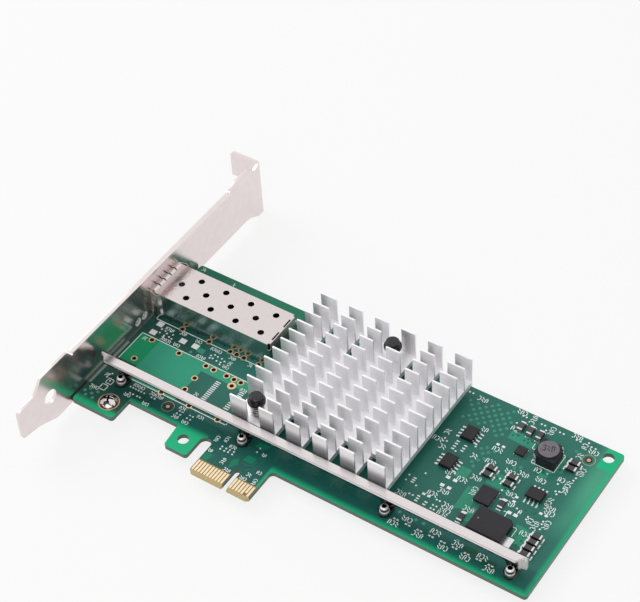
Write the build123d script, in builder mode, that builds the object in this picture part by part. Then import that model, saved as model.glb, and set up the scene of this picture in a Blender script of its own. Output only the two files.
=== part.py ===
# Network interface card with one optical module cage.
# Millimetres. X runs along the card away from the bracket, Y towards the card's top edge,
# Z out of the component face. The origin is the centre of the key notch, on the lower edge
# of the card edge connector, at the height of the component face.
import os
from build123d import *

os.makedirs("parts", exist_ok=True)

# Circuit board
board_thick = 1.57
board_length = 147.95
board_left = -57.8
board_right = board_left + board_length
board_bottom = 12.1
board_top = 68.95
board_corner = 1.0
screw_tab_right = -42.8
tab_low = 3.95
hook_left = -24.8
hook_right = -16.0
hook_slant = 0.9
tongue_left = -12.15
tongue_right = 8.15
tongue_corner = 0.8
tongue_fillet = 1.4
relief_top = 12.6
key_width = 1.9
key_top = 7.75
bevel_length = 0.9
bevel_depth = 0.4
board_hole_radius = 1.75
hook_hole = (-20.3, 8.56)
corner_hole = (board_right - 3.6, board_top - 3.24)
fit_gap = 0.3

# Edge contacts
contact_pitch = 1.0
contact_width = 0.7
contact_thick = 0.08
contact_low = 1.0
contact_high = 4.85
short_contact_low = 1.9
left_contacts = 11
right_contacts = 7
first_right_contact = 1.5
short_contact = 5

# Bracket
sheet = 0.86
bracket_inner = -58.24
bracket_outer = bracket_inner - sheet
bracket_low = -1.6
bracket_high = 16.9
lip_start = 7.0
lip_end = 87.0
upper_edge_z = 18.2
upper_edge_start = 3.0
upper_edge_end = 6.96
upper_neck = (3.56, 15.2)
upper_low_start = 9.96
upper_low_knee = (7.36, -2.2)
upper_low_end = 3.36
lower_edge_z = 17.5
lower_edge_start = 1.5
lower_edge_end = 11.4
tongue_neck = 7.4
tongue_high_z = 13.1
tongue_low_z = 2.4
tongue_low_neck_z = 0.9
tongue_round = 1.2
low_edge_end = -2.5
lip_reach = 2.0
lip_relief = 0.55
lip_round = 0.6
tongue_tip_y = -17.0
bend_top = 103.96
bend_radius = 1.3
bend_inner_radius = bend_radius - sheet
tab_reach = 11.43
tab_low_z = -4.5
tab_high_z = 16.2
tab_corner = 1.6
slot_width = 4.4
slot_z = 4.2
slot_depth = 7.2
led_hole_radius = 1.4
led_hole_y = (37.25, 40.45)
led_hole_z = 2.35
reference_hole = (-3.5, 7.6)
reference_hole_radius = 2.5
ear_low_y = 4.4
ear_high_y = 12.8
ear_right = -43.5
ear_corner = 2.4
ear_step = 0.8

# Bracket screw
screw_x = -47.5
screw_y = 8.6
screw_shank_radius = 1.5
screw_head_radius = 2.75
screw_head_height = 1.9
screw_rim_height = 0.5
screw_end = -4.0
recess_width = 0.55
recess_turn = 25

# Module cage
cage_front = -63.1
cage_rear = -14.4
cage_low_y = 44.6
cage_width = 14.25
cage_height = 9.6
cage_wall = 0.3
cage_high_y = cage_low_y + cage_width
cage_mid_y = cage_low_y + cage_width / 2
vent_radius = 1.0
vent_pitch = 9.15
vent_count = 4
vent_first = -47.0
vent_shift = -4.6
vent_row_step = 4.02
rear_slot_length = 3.5
rear_slot_width = 0.5
rear_slot_inset = 0.55
rear_slot_offset = 3.0
corner_notch = 0.7
corner_notch_depth = 2.2
cage_leg_x = (-51.7, -41.4, -31.4, -21.1)
cage_leg_width = 0.6
cage_leg_end = -2.5
cage_leg_hole = 0.42
port_gap = 0.4
host_front = -30.0
host_rear = -16.4
host_width = 12.0
host_height = 5.6
host_slot_width = 10.2
host_slot_height = 1.3
host_slot_low = 2.9
host_slot_depth = 5.5
host_gap = 0.6

# Spring collar of the cage
collar_sheet = 0.25
collar_front = -62.6
collar_bend = bracket_inner + 0.1
collar_slit_end = -57.2
top_crest = -57.1
top_foot = -56.4
top_rise = 0.65
top_inset = 0.4
side_crest = -55.6
side_foot = -54.2
side_rise = 0.8
collar_crest_flat = 0.3
finger_gap = 0.35
top_fingers = 5
side_fingers = 3
collar_low_z = 0.6

# Heat sink
sink_left = -10.6
sink_low_y = 19.84
sink_low_z = 3.0
sink_base = 2.0
fin_height = 9.3
fin_thick = 0.6
fin_pitch = 4.25
fin_rows = 12
outer_fin_length = 5.6
inner_fin_length = 4.75
channel_width = 4.35
channels = 5
channel_pitch = inner_fin_length + channel_width
sink_length = 2 * outer_fin_length + 4 * inner_fin_length + channels * channel_width
sink_width = (fin_rows - 1) * fin_pitch + fin_thick
near_slot_length = 9.2
far_slot_length = 10.4
near_slot_channels = (1, 2, 3, 4)
far_slot_channels = (0, 1, 3, 4)
sink_top_z = sink_low_z + sink_base

# Push pins and their springs
pin_places = ((-4.95, 24.75), (17.0, 62.8))
pin_shaft_radius = 1.1
pin_hole_radius = 1.45
pin_flange_radius = 2.7
pin_flange_low = 9.65
pin_flange_high = 10.5
pin_knob_radius = 2.05
pin_groove_radius = 1.8
pin_groove_low = 11.35
pin_groove_high = 11.55
pin_knob_high = 12.45
pin_knob_bevel = 0.35
pin_barb_radius = 1.75
pin_tip_radius = 0.8
pin_tip_z = -3.6
spring_wire = 0.2
spring_radius = 1.85
spring_turns = 4

# Controller under the heat sink
controller_x = 15.2
controller_y = 43.6
controller_size = 25.0
controller_lid = 20.5
ball_field = 23.4
ball_height = 0.35
substrate_top = 1.0
controller_top = 2.5
pad_size = 20.0

# Stiffening rail
rail_sheet = 0.9
rail_top = 7.8
rail_far_y = 18.85
rail_near_y = 15.75
rail_far_left = board_left + 1.4
rail_far_right = board_right - 3.25
rail_mitre = 2.5
rail_web_low = 3.0
rail_fold = 0.6
first_foot_inset = 7.6
last_foot_inset = 4.1
foot_x = (rail_far_left + first_foot_inset, -5.05, 43.15, rail_far_right - last_foot_inset)
foot_width = 3.9
foot_flare = 1.7
rail_screw_y = 16.45
rail_washer_radius = 1.45
rail_washer_thick = 0.5
rail_head_radius = 1.25
rail_head_height = 1.5
rail_head_bevel = 0.45
rail_shank_radius = 0.95
rail_shank_end = -2.1

# Small packages, placed from the board's right edge
soic_length = 4.9
soic_width = 3.9
soic_low = 0.2
soic_high = 1.55
soic_draft = 8
soic_span = 6.0
soic_pitch = 1.27
soic_lead_width = 0.42
soic_lead_thick = 0.2
soic_foot = 0.6
soic_places = ((40.95, 52.6, 0), (40.95, 40.7, 0), (14.35, 43.0, 90))
qfn_inset = 25.55
qfn_place = (board_right - qfn_inset, 54.7)
qfn_size = 3.0
qfn_high = 0.9
dfn_inset = 25.95
dfn_place = (board_right - dfn_inset, 35.7)
dfn_length = 5.0
dfn_width = 6.0
dfn_high = 1.0
pad_thick = 0.12
power_left_inset = 24.95
power_right_inset = 14.25
power_left = board_right - power_left_inset
power_right = board_right - power_right_inset
power_low_y = 22.7
power_high_y = 31.1
power_high = 2.2
power_chamfer = 0.9
power_tab_right = power_right + 2.4
power_tab_low_y = 22.9
power_tab_high_y = 26.9
power_tab_thick = 0.25

# Inductor
coil_inset = 17.85
coil_x = board_right - coil_inset
coil_y = 56.55
coil_size = 6.9
coil_chamfer = 1.3
coil_low = 0.15
coil_shoulder = 3.8
coil_top = 4.5
coil_disc_radius = 3.05
coil_terminal_width = 1.5
coil_terminal_thick = 0.25
coil_terminal_high = 2.6

# Chip capacitors and resistors, as distance from the board's right edge, height and turn
chip_length = 3.2
chip_width = 1.6
capacitor_high = 1.3
chip_end = 0.55
resistor_high = 0.6
capacitor_places = (
    (29.8, 62.6, 90), (26.75, 62.5, 90), (23.7, 62.4, 90),
    (29.45, 45.0, 0), (29.45, 42.45, 0), (22.85, 45.15, 0), (22.85, 42.45, 0),
    (10.55, 58.6, 0), (10.55, 56.3, 0),
    (7.15, 30.6, 0), (7.15, 28.35, 0), (7.15, 26.1, 0), (7.15, 23.85, 0),
)
resistor_places = ((20.85, 35.7, 90), (28.2, 26.1, 90))

# Open plated holes of the unused second cage position
plated_radius = 0.52
plated_sides = 12
plated_places = (
    (-51.7, 35.1), (-41.4, 34.95), (-31.4, 35.0), (-28.5, 34.9), (-23.8, 34.9), (-21.1, 34.9),
    (-18.6, 34.9), (-51.7, 26.3), (-31.4, 29.3), (-31.3, 24.2), (-20.2, 32.5),
    (-46.5, 43.5), (-36.4, 43.5), (-28.6, 43.5), (-26.2, 43.5), (-23.6, 43.5), (-18.3, 43.5),
    (-36.5, 19.65), (-26.4, 19.7), (-16.1, 19.7),
)


def cage_leg_places():
    """Centres of the cage legs, under both side walls."""
    rows = (cage_low_y + cage_wall / 2, cage_high_y - cage_wall / 2)
    return [(x, y) for y in rows for x in cage_leg_x]


def turned_places(places):
    """Locations on the component face from inset, height and turn."""
    return [Location((board_right - inset, y, 0), (0, 0, turn)) for inset, y, turn in places]


def rail_screw_places():
    """Centres of the rail screws, one in each foot."""
    return [(x, rail_screw_y) for x in foot_x]


# Circuit board, one glass fibre panel with its tabs, slots and holes
with BuildPart() as circuit_board:
    with BuildSketch(Plane.XY.offset(-board_thick)):
        with BuildLine():
            Polyline(
                (board_left, board_top), (board_left, tab_low), (screw_tab_right, tab_low),
                (screw_tab_right, board_bottom), (hook_left, board_bottom),
                (hook_left + hook_slant, tab_low), (hook_right, tab_low),
                (hook_right, board_bottom), (tongue_left, board_bottom), (tongue_left, 0),
                (tongue_right, 0), (tongue_right, board_bottom), (board_right, board_bottom),
                (board_right, board_top), close=True,
            )
        make_face()
        relief_radius = (tongue_left - hook_right) / 2
        relief_x = (tongue_left + hook_right) / 2
        with Locations((relief_x, board_bottom - relief_radius / 2)):
            Rectangle(2 * relief_radius, relief_radius)
        with Locations((relief_x, relief_top - relief_radius)):
            Circle(relief_radius, mode=Mode.SUBTRACT)
        with Locations((relief_x, relief_top - 2 * relief_radius)):
            Rectangle(2 * relief_radius, 2 * relief_radius, mode=Mode.SUBTRACT)
        key_length = key_top + key_width
        with Locations((0, key_top - key_length / 2)):
            SlotOverall(key_length, key_width, rotation=90, mode=Mode.SUBTRACT)
        with Locations(hook_hole, corner_hole):
            Circle(board_hole_radius, mode=Mode.SUBTRACT)
        with Locations((screw_x, screw_y)):
            Circle(screw_shank_radius + fit_gap, mode=Mode.SUBTRACT)
        with Locations(*rail_screw_places()):
            Circle(rail_shank_radius + fit_gap, mode=Mode.SUBTRACT)
        with Locations(*pin_places):
            Circle(pin_hole_radius, mode=Mode.SUBTRACT)
        with Locations(*cage_leg_places()):
            Circle(cage_leg_hole, mode=Mode.SUBTRACT)
        with Locations(*plated_places):
            RegularPolygon(plated_radius, plated_sides, mode=Mode.SUBTRACT)
    extrude(amount=board_thick)
    upright = circuit_board.edges().filter_by(Axis.Z)
    outer_corners = [
        edge for edge in upright
        if (edge.center().X in (board_left, board_right) or abs(edge.center().Y - tab_low) < 0.01)
    ]
    fillet(outer_corners, radius=board_corner)
    upright = circuit_board.edges().filter_by(Axis.Z)
    inner_corner = [
        edge for edge in upright
        if abs(edge.center().X - tongue_right) < 0.01 and abs(edge.center().Y - board_bottom) < 0.01
    ]
    fillet(inner_corner, radius=tongue_fillet)
    tip_corners = [
        edge for edge in circuit_board.edges().filter_by(Axis.Z)
        if abs(edge.center().Y) < 0.01
        and min(abs(edge.center().X - tongue_left), abs(edge.center().X - tongue_right)) < 0.01
    ]
    chamfer(tip_corners, length=tongue_corner)
    with BuildSketch(Plane.YZ.offset(tongue_left)):
        Polygon((0, 0), (bevel_length, 0), (0, -bevel_depth), align=None)
        Polygon(
            (0, -board_thick), (0, bevel_depth - board_thick), (bevel_length, -board_thick), align=None
        )
    extrude(amount=tongue_right - tongue_left, mode=Mode.SUBTRACT)
circuit_board.part.label = "circuit_board"
export_step(circuit_board.part, "parts/circuit_board.step")

# Edge contacts, gold pads on both faces of the tongue
contact_x = [-(first_right_contact + contact_pitch * i) for i in range(left_contacts)]
contact_x += [first_right_contact + contact_pitch * i for i in range(right_contacts)]
with BuildPart() as edge_contacts:
    for face_z in (0, -board_thick - contact_thick):
        with BuildSketch(Plane.XY.offset(face_z)):
            for x in contact_x:
                is_short = abs(x - first_right_contact - contact_pitch * short_contact) < 0.01
                low = short_contact_low if is_short else contact_low
                with Locations((x, (low + contact_high) / 2)):
                    Rectangle(contact_width, contact_high - low)
        extrude(amount=contact_thick)
edge_contacts.part.label = "edge_contacts"
export_step(edge_contacts.part, "parts/edge_contacts.step")

# Bracket, one folded sheet: plate, upper tab, stiffening lip and screw ear
ear_top = -board_thick
ear_bottom = ear_top - sheet
tab_end = bracket_inner - tab_reach
bend_x = bracket_inner - bend_radius
bend_y = bend_top - bend_radius
with BuildPart() as bracket:
    with BuildSketch(Plane.YZ.offset(bracket_outer)) as bracket_face:
        with BuildLine():
            Polyline(
                (bend_y, tab_high_z), (bend_top - upper_neck[0], upper_neck[1]),
                (bend_top - upper_edge_end, upper_edge_z), (lip_end + upper_edge_start, upper_edge_z),
                (lip_end, bracket_high), (lip_start, bracket_high),
                (lip_start - lower_edge_start, lower_edge_z),
                (tongue_tip_y + lower_edge_end, lower_edge_z),
                (tongue_tip_y + tongue_neck, tongue_high_z), (tongue_tip_y, tongue_high_z),
                (tongue_tip_y, tongue_low_z), (tongue_tip_y + tongue_neck, tongue_low_neck_z),
                (low_edge_end, ear_bottom), (ear_high_y + ear_step, ear_bottom),
                (ear_high_y + 2 * ear_step, bracket_low), (bend_top - upper_low_start, bracket_low),
                (bend_top - upper_low_knee[0], upper_low_knee[1]),
                (bend_top - upper_low_end, tab_low_z), (bend_y, tab_low_z), close=True,
            )
        make_face()
        tip_points = [
            point for point in bracket_face.vertices() if abs(point.X - tongue_tip_y) < 0.01
        ]
        fillet(tip_points, radius=tongue_round)
        with Locations((cage_mid_y, cage_height / 2)):
            Rectangle(
                cage_width + 2 * port_gap, cage_height + 2 * port_gap, mode=Mode.SUBTRACT
            )
        with Locations(*[(y, led_hole_z) for y in led_hole_y]):
            Circle(led_hole_radius, mode=Mode.SUBTRACT)
        with Locations(reference_hole):
            Circle(reference_hole_radius, mode=Mode.SUBTRACT)
    extrude(amount=sheet)
    with BuildSketch(Plane.XY.offset(tab_low_z)):
        with BuildLine():
            Line((bracket_inner, bend_y), (bracket_outer, bend_y))
            inner_bend = CenterArc((bend_x, bend_y), bend_inner_radius, 0, 90)
            Polyline(inner_bend @ 1, (tab_end, bend_top - sheet), (tab_end, bend_top), (bend_x, bend_top))
            CenterArc((bend_x, bend_y), bend_radius, 0, 90)
        make_face()
    extrude(amount=tab_high_z - tab_low_z)
    tab_corners = [
        edge for edge in bracket.edges().filter_by(Axis.Y) if abs(edge.center().X - tab_end) < 0.01
    ]
    fillet(tab_corners, radius=tab_corner)
    with BuildSketch(Plane.XZ.offset(-bend_top)):
        with Locations((tab_end, slot_z)):
            SlotOverall(2 * slot_depth, slot_width)
    extrude(amount=sheet, mode=Mode.SUBTRACT)
    with BuildSketch(Plane.XZ.offset(-lip_end)):
        with Locations((bracket_outer + lip_reach / 2, bracket_high - sheet / 2)):
            Rectangle(lip_reach, sheet)
    extrude(amount=lip_end - lip_start)
    lip_fold = [
        edge for edge in bracket.edges().filter_by(Axis.Y)
        if abs(edge.center().X - bracket_outer) < 0.01
        and abs(edge.center().Z - bracket_high) < 0.01
    ]
    fillet(lip_fold, radius=lip_round)
    with BuildSketch(Plane.YZ.offset(bracket_outer)):
        with Locations((lip_start, bracket_high), (lip_end, bracket_high)):
            Circle(lip_relief)
    extrude(amount=lip_reach, mode=Mode.SUBTRACT)
    with BuildSketch(Plane.XY.offset(ear_bottom)):
        with Locations(((bracket_outer + ear_right) / 2, (ear_low_y + ear_high_y) / 2)):
            Rectangle(ear_right - bracket_outer, ear_high_y - ear_low_y)
    extrude(amount=sheet)
    ear_corners = [
        edge for edge in bracket.edges().filter_by(Axis.Z)
        if abs(edge.center().X - ear_right) < 0.01
    ]
    fillet(ear_corners, radius=ear_corner)
    with BuildSketch(Plane.XY.offset(ear_bottom)):
        with Locations((screw_x, screw_y)):
            Circle(screw_shank_radius + fit_gap)
    extrude(amount=sheet, mode=Mode.SUBTRACT)
bracket.part.label = "bracket"
export_step(bracket.part, "parts/bracket.step")

# Bracket screw, domed head with a cross recess
dome_rise = screw_head_height - screw_rim_height
dome_radius = (screw_head_radius ** 2 + dome_rise ** 2) / (2 * dome_rise)
with BuildPart() as turned_screw:
    with BuildSketch(Plane.XZ):
        with BuildLine():
            dome = RadiusArc(
                (screw_head_radius, screw_rim_height), (0, screw_head_height), -dome_radius
            )
            Polyline(
                dome @ 1, (0, screw_end), (screw_shank_radius, screw_end), (screw_shank_radius, 0),
                (screw_head_radius, 0), dome @ 0,
            )
        make_face()
    revolve(axis=Axis.Z)
    with BuildSketch(Plane.XY.offset(screw_head_height)):
        Rectangle(screw_head_radius, recess_width, rotation=recess_turn)
        Rectangle(recess_width, screw_head_radius, rotation=recess_turn)
    extrude(amount=-screw_head_height / 2, mode=Mode.SUBTRACT)
with BuildPart() as bracket_screw:
    with Locations((screw_x, screw_y, 0)):
        add(turned_screw.part)
bracket_screw.part.label = "bracket_screw"
export_step(bracket_screw.part, "parts/bracket_screw.step")

# Module cage, a folded box of thin sheet with an open port, vents and legs
with BuildPart() as sfp_cage:
    with BuildSketch(Plane.XY):
        with Locations(((cage_front + cage_rear) / 2, cage_mid_y)):
            Rectangle(cage_rear - cage_front, cage_width)
    extrude(amount=cage_height)
    with BuildSketch(Plane.YZ.offset(cage_front)):
        with Locations((cage_mid_y, cage_height / 2)):
            Rectangle(cage_width - 2 * cage_wall, cage_height - 2 * cage_wall)
    extrude(amount=cage_rear - cage_wall - cage_front, mode=Mode.SUBTRACT)
    with BuildSketch(Plane.XY):
        with Locations(((host_front + host_rear) / 2, cage_mid_y)):
            Rectangle(host_rear - host_front + 2 * host_gap, host_width + 2 * fit_gap)
    extrude(amount=cage_wall, mode=Mode.SUBTRACT)
    with BuildSketch(Plane.XY.offset(cage_height)):
        for row in (-1, 0, 1):
            shift = vent_shift if row == 0 else 0
            for i in range(vent_count):
                with Locations((vent_first + shift + i * vent_pitch, cage_mid_y + row * vent_row_step)):
                    Circle(vent_radius)
        for side in (-1, 1):
            with Locations((cage_rear - rear_slot_inset, cage_mid_y + side * rear_slot_offset)):
                Rectangle(rear_slot_width, rear_slot_length)
    extrude(amount=-cage_wall, mode=Mode.SUBTRACT)
    with BuildSketch(Plane.XY.offset(cage_height)):
        for y in (cage_low_y, cage_high_y):
            with Locations((cage_rear, y)):
                Rectangle(2 * corner_notch, 2 * corner_notch)
    extrude(amount=-corner_notch_depth, mode=Mode.SUBTRACT)
    with BuildSketch(Plane.XY):
        with Locations(*cage_leg_places()):
            Rectangle(cage_leg_width, cage_wall)
    extrude(amount=cage_leg_end)
sfp_cage.part.label = "sfp_cage"
export_step(sfp_cage.part, "parts/sfp_cage.step")

# Spring collar, a thin band round the cage with sprung fingers behind the bracket
def collar_arch(foot, crest, rise):
    """Points of one sheet arch from the bracket's side over its crest to its foot, from the cage up."""
    low = rise - collar_sheet
    upper = [
        (collar_bend, collar_sheet), (crest - collar_crest_flat, rise), (crest, rise),
        (foot, collar_sheet / 2), (foot, 0),
    ]
    lower = [(foot - collar_sheet, 0), (crest, low), (crest - collar_crest_flat, low), (collar_bend, 0)]
    return upper + lower


with BuildPart() as cage_spring_collar:
    with BuildSketch(Plane.YZ.offset(collar_front)):
        with Locations((cage_mid_y, (collar_low_z + cage_height + collar_sheet) / 2)):
            Rectangle(cage_width + 2 * collar_sheet, cage_height + collar_sheet - collar_low_z)
        with Locations((cage_mid_y, cage_height / 2)):
            Rectangle(cage_width, cage_height, mode=Mode.SUBTRACT)
    extrude(amount=collar_bend - collar_front)
    top_low_y = cage_low_y + top_inset
    top_high_y = cage_high_y - top_inset
    with BuildSketch(Plane.XZ.offset(-top_low_y)):
        arch = collar_arch(top_foot, top_crest, top_rise)
        Polygon(*[(x, cage_height + z) for x, z in arch], align=None)
    extrude(amount=top_low_y - top_high_y)
    with BuildSketch(Plane.XY.offset(collar_low_z)):
        arch = collar_arch(side_foot, side_crest, side_rise)
        Polygon(*[(x, cage_low_y - y) for x, y in arch], align=None)
        Polygon(*[(x, cage_high_y + y) for x, y in arch], align=None)
    extrude(amount=cage_height - collar_low_z)
    with BuildSketch(Plane.XY.offset(cage_height)):
        for i in range(1, top_fingers):
            slit_y = top_low_y + (top_high_y - top_low_y) * i / top_fingers
            with Locations(((collar_bend + collar_slit_end) / 2, slit_y)):
                Rectangle(collar_slit_end - collar_bend, finger_gap)
    extrude(amount=top_rise, mode=Mode.SUBTRACT)
    with BuildSketch(Plane.XZ.offset(-cage_low_y + side_rise)):
        for i in range(1, side_fingers):
            slit_z = collar_low_z + (cage_height - collar_low_z) * i / side_fingers
            with Locations(((collar_bend + side_crest) / 2, slit_z)):
                Rectangle(side_crest - collar_bend, finger_gap)
    extrude(amount=-(cage_width + 2 * side_rise), mode=Mode.SUBTRACT)
cage_spring_collar.part.label = "cage_spring_collar"
export_step(cage_spring_collar.part, "parts/cage_spring_collar.step")

# Host connector inside the cage
with BuildPart() as sfp_host_connector:
    with BuildSketch(Plane.XY):
        with Locations(((host_front + host_rear) / 2, cage_mid_y)):
            Rectangle(host_rear - host_front, host_width)
    extrude(amount=host_height)
    with BuildSketch(Plane.YZ.offset(host_front)):
        with Locations((cage_mid_y, host_slot_low + host_slot_height / 2)):
            Rectangle(host_slot_width, host_slot_height)
    extrude(amount=host_slot_depth, mode=Mode.SUBTRACT)
sfp_host_connector.part.label = "sfp_host_connector"
export_step(sfp_host_connector.part, "parts/sfp_host_connector.step")

# Heat sink, a base with a grid of fins, open slots at both ends and holes for the push pins
sink_mid_x = sink_left + sink_length / 2
sink_mid_y = sink_low_y + sink_width / 2


def channel_x(index):
    """Middle of a channel between two fin columns."""
    return sink_left + outer_fin_length + channel_width / 2 + index * channel_pitch


with BuildPart() as heatsink:
    with BuildSketch(Plane.XY.offset(sink_low_z)):
        with Locations((sink_mid_x, sink_mid_y)):
            Rectangle(sink_length, sink_width)
        for index in near_slot_channels:
            with Locations((channel_x(index), sink_low_y + near_slot_length / 2)):
                Rectangle(channel_width, near_slot_length, mode=Mode.SUBTRACT)
        for index in far_slot_channels:
            with Locations((channel_x(index), sink_low_y + sink_width - far_slot_length / 2)):
                Rectangle(channel_width, far_slot_length, mode=Mode.SUBTRACT)
        with Locations(*pin_places):
            Circle(pin_hole_radius, mode=Mode.SUBTRACT)
    extrude(amount=sink_base)
    with BuildSketch(Plane.XY.offset(sink_top_z)):
        for row in range(fin_rows):
            with Locations((sink_mid_x, sink_low_y + fin_thick / 2 + row * fin_pitch)):
                Rectangle(sink_length, fin_thick)
        for index in range(channels):
            with Locations((channel_x(index), sink_mid_y)):
                Rectangle(channel_width, sink_width, mode=Mode.SUBTRACT)
        for x, y in pin_places:
            side = -1 if x < sink_mid_x - channel_pitch else 1
            with Locations((x + side * channel_pitch / 2, y)):
                Rectangle(
                    channel_pitch + 2 * fit_gap, 2 * pin_flange_radius + fin_thick, mode=Mode.SUBTRACT
                )
    extrude(amount=fin_height)
heatsink.part.label = "heatsink"
export_step(heatsink.part, "parts/heatsink.step")

# Push pins, turned heads with a barbed tip under the board
with BuildPart() as push_pins:
    with BuildSketch(Plane.XZ):
        with BuildLine():
            Polyline(
                (0, pin_tip_z), (pin_tip_radius, pin_tip_z), (pin_barb_radius, -board_thick - fit_gap),
                (pin_shaft_radius, -board_thick - fit_gap), (pin_shaft_radius, pin_flange_low),
                (pin_flange_radius, pin_flange_low), (pin_flange_radius, pin_flange_high),
                (pin_knob_radius, pin_flange_high), (pin_knob_radius, pin_groove_low),
                (pin_groove_radius, pin_groove_low), (pin_groove_radius, pin_groove_high),
                (pin_knob_radius, pin_groove_high),
                (pin_knob_radius, pin_knob_high - pin_knob_bevel),
                (pin_knob_radius - pin_knob_bevel, pin_knob_high), (0, pin_knob_high), close=True,
            )
        make_face()
    revolve(axis=Axis.Z)
single_pin = push_pins.part
with BuildPart() as push_pins:
    with Locations(*[(x, y, 0) for x, y in pin_places]):
        add(single_pin)
push_pins.part.label = "push_pins"
export_step(push_pins.part, "parts/push_pins.step")

# Springs round the push pins
spring_space = pin_flange_low - sink_top_z
spring_height = spring_space - 2 * spring_wire
with BuildPart() as spring_turned:
    with BuildLine():
        coil_path = Helix(
            pitch=spring_height / spring_turns, height=spring_height, radius=spring_radius,
            center=(0, 0, sink_top_z + spring_wire),
        )
    with BuildSketch(Plane(origin=coil_path @ 0, z_dir=coil_path % 0)):
        RegularPolygon(spring_wire, 4)
    sweep(path=coil_path, is_frenet=True)
single_spring = spring_turned.part
with BuildPart() as push_pin_springs:
    with Locations(*[(x, y, 0) for x, y in pin_places]):
        add(single_spring)
push_pin_springs.part.label = "push_pin_springs"
export_step(push_pin_springs.part, "parts/push_pin_springs.step")

# Controller package with its ball field, substrate and lid
with BuildPart() as controller_package:
    for size, low, high in (
        (ball_field, 0, ball_height),
        (controller_size, ball_height, substrate_top),
        (controller_lid, substrate_top, controller_top),
    ):
        with BuildSketch(Plane.XY.offset(low)):
            with Locations((controller_x, controller_y)):
                Rectangle(size, size)
        extrude(amount=high - low)
controller_package.part.label = "controller_package"
export_step(controller_package.part, "parts/controller_package.step")

# Thermal pad between package and heat sink
with BuildPart() as thermal_pad:
    with BuildSketch(Plane.XY.offset(controller_top)):
        with Locations((controller_x, controller_y)):
            Rectangle(pad_size, pad_size)
    extrude(amount=sink_low_z - controller_top)
thermal_pad.part.label = "thermal_pad"
export_step(thermal_pad.part, "parts/thermal_pad.step")

# Stiffening rail, one folded sheet: flange, web and four screwed feet
with BuildPart() as stiffener_rail:
    with BuildSketch(Plane.XY.offset(rail_top - rail_sheet)):
        Polygon(
            (rail_far_left, rail_far_y), (rail_far_left + rail_mitre, rail_near_y),
            (rail_far_right - rail_mitre, rail_near_y), (rail_far_right, rail_far_y), align=None,
        )
    extrude(amount=rail_sheet)
    with BuildSketch(Plane.XZ.offset(-rail_far_y)):
        with BuildLine():
            Polyline(
                (rail_far_left, rail_web_low), (rail_far_left, rail_top), (rail_far_right, rail_top),
                (rail_far_right, rail_web_low), close=True,
            )
        make_face()
        for x in foot_x:
            half = foot_width / 2
            flare = half + foot_flare
            right_flare = min(x + flare, rail_far_right)
            Polygon(
                (x - flare, rail_web_low), (x - half - foot_flare / 4, rail_web_low - foot_flare / 4),
                (x - half, rail_web_low - foot_flare), (x - half, 0), (x + half, 0),
                (x + half, rail_web_low - foot_flare),
                (x + half + foot_flare / 4, rail_web_low - foot_flare / 4), (right_flare, rail_web_low),
                (x, rail_web_low + rail_sheet), align=None,
            )
    extrude(amount=rail_sheet)
    fold = [
        edge for edge in stiffener_rail.edges().filter_by(Axis.X)
        if abs(edge.center().Y - rail_far_y) < 0.01 and abs(edge.center().Z - rail_top) < 0.01
    ]
    fillet(fold, radius=rail_fold)
    with BuildSketch(Plane.XY):
        for x in foot_x:
            with Locations((x, (rail_screw_y + rail_far_y) / 2)):
                Rectangle(foot_width, rail_far_y - rail_screw_y)
        with Locations(*rail_screw_places()):
            Circle(foot_width / 2)
    extrude(amount=rail_sheet)
    with BuildSketch(Plane.XY):
        with Locations(*rail_screw_places()):
            Circle(rail_shank_radius + fit_gap)
    extrude(amount=rail_sheet, mode=Mode.SUBTRACT)
stiffener_rail.part.label = "stiffener_rail"
export_step(stiffener_rail.part, "parts/stiffener_rail.step")

# Rail screws, washer heads with cross recesses
washer_top = rail_sheet + rail_washer_thick
rail_head_top = washer_top + rail_head_height
with BuildPart() as single_rail_screw:
    with BuildSketch(Plane.XZ):
        Polygon(
            (0, rail_shank_end), (rail_shank_radius, rail_shank_end), (rail_shank_radius, rail_sheet),
            (rail_washer_radius, rail_sheet), (rail_washer_radius, washer_top),
            (rail_head_radius, washer_top), (rail_head_radius, rail_head_top - rail_head_bevel),
            (rail_head_radius - rail_head_bevel, rail_head_top), (0, rail_head_top), align=None,
        )
    revolve(axis=Axis.Z)
    with BuildSketch(Plane.XY.offset(rail_head_top)):
        Rectangle(rail_head_radius, recess_width, rotation=recess_turn)
        Rectangle(recess_width, rail_head_radius, rotation=recess_turn)
    extrude(amount=-rail_head_height / 2, mode=Mode.SUBTRACT)
with BuildPart() as rail_screws:
    with Locations(*[(x, y, 0) for x, y in rail_screw_places()]):
        add(single_rail_screw.part)
rail_screws.part.label = "rail_screws"
export_step(rail_screws.part, "parts/rail_screws.step")

# Small outline packages with gull wing leads
soic_mid = (soic_low + soic_high) / 2
with BuildPart() as single_soic:
    for low, high in ((soic_mid, soic_high), (soic_mid, soic_low)):
        with BuildSketch(Plane.XY.offset(low)):
            Rectangle(soic_width, soic_length)
        extrude(amount=high - low, taper=soic_draft)
with BuildPart() as single_lead_set:
    for lead in range(4):
        lead_y = (lead - 1.5) * soic_pitch
        with BuildSketch(Plane.XZ.offset(-lead_y - soic_lead_width / 2)):
            for side in (-1, 1):
                body = side * soic_width / 2
                end = side * soic_span / 2
                foot = side * (soic_span / 2 - soic_foot)
                knee = side * (soic_width / 2 + soic_lead_thick)
                Polygon(
                    (body, soic_mid), (knee, soic_mid), (foot, soic_lead_thick), (end, soic_lead_thick),
                    (end, 0), (foot - side * soic_lead_thick, 0),
                    (knee - side * soic_lead_thick / 2, soic_mid - soic_lead_thick),
                    (body, soic_mid - soic_lead_thick), align=None,
                )
        extrude(amount=soic_lead_width)
soic_locations = turned_places(soic_places)
with BuildPart() as soic_bodies:
    with Locations(*soic_locations):
        add(single_soic.part)
soic_bodies.part.label = "soic_bodies"
export_step(soic_bodies.part, "parts/soic_bodies.step")
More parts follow.
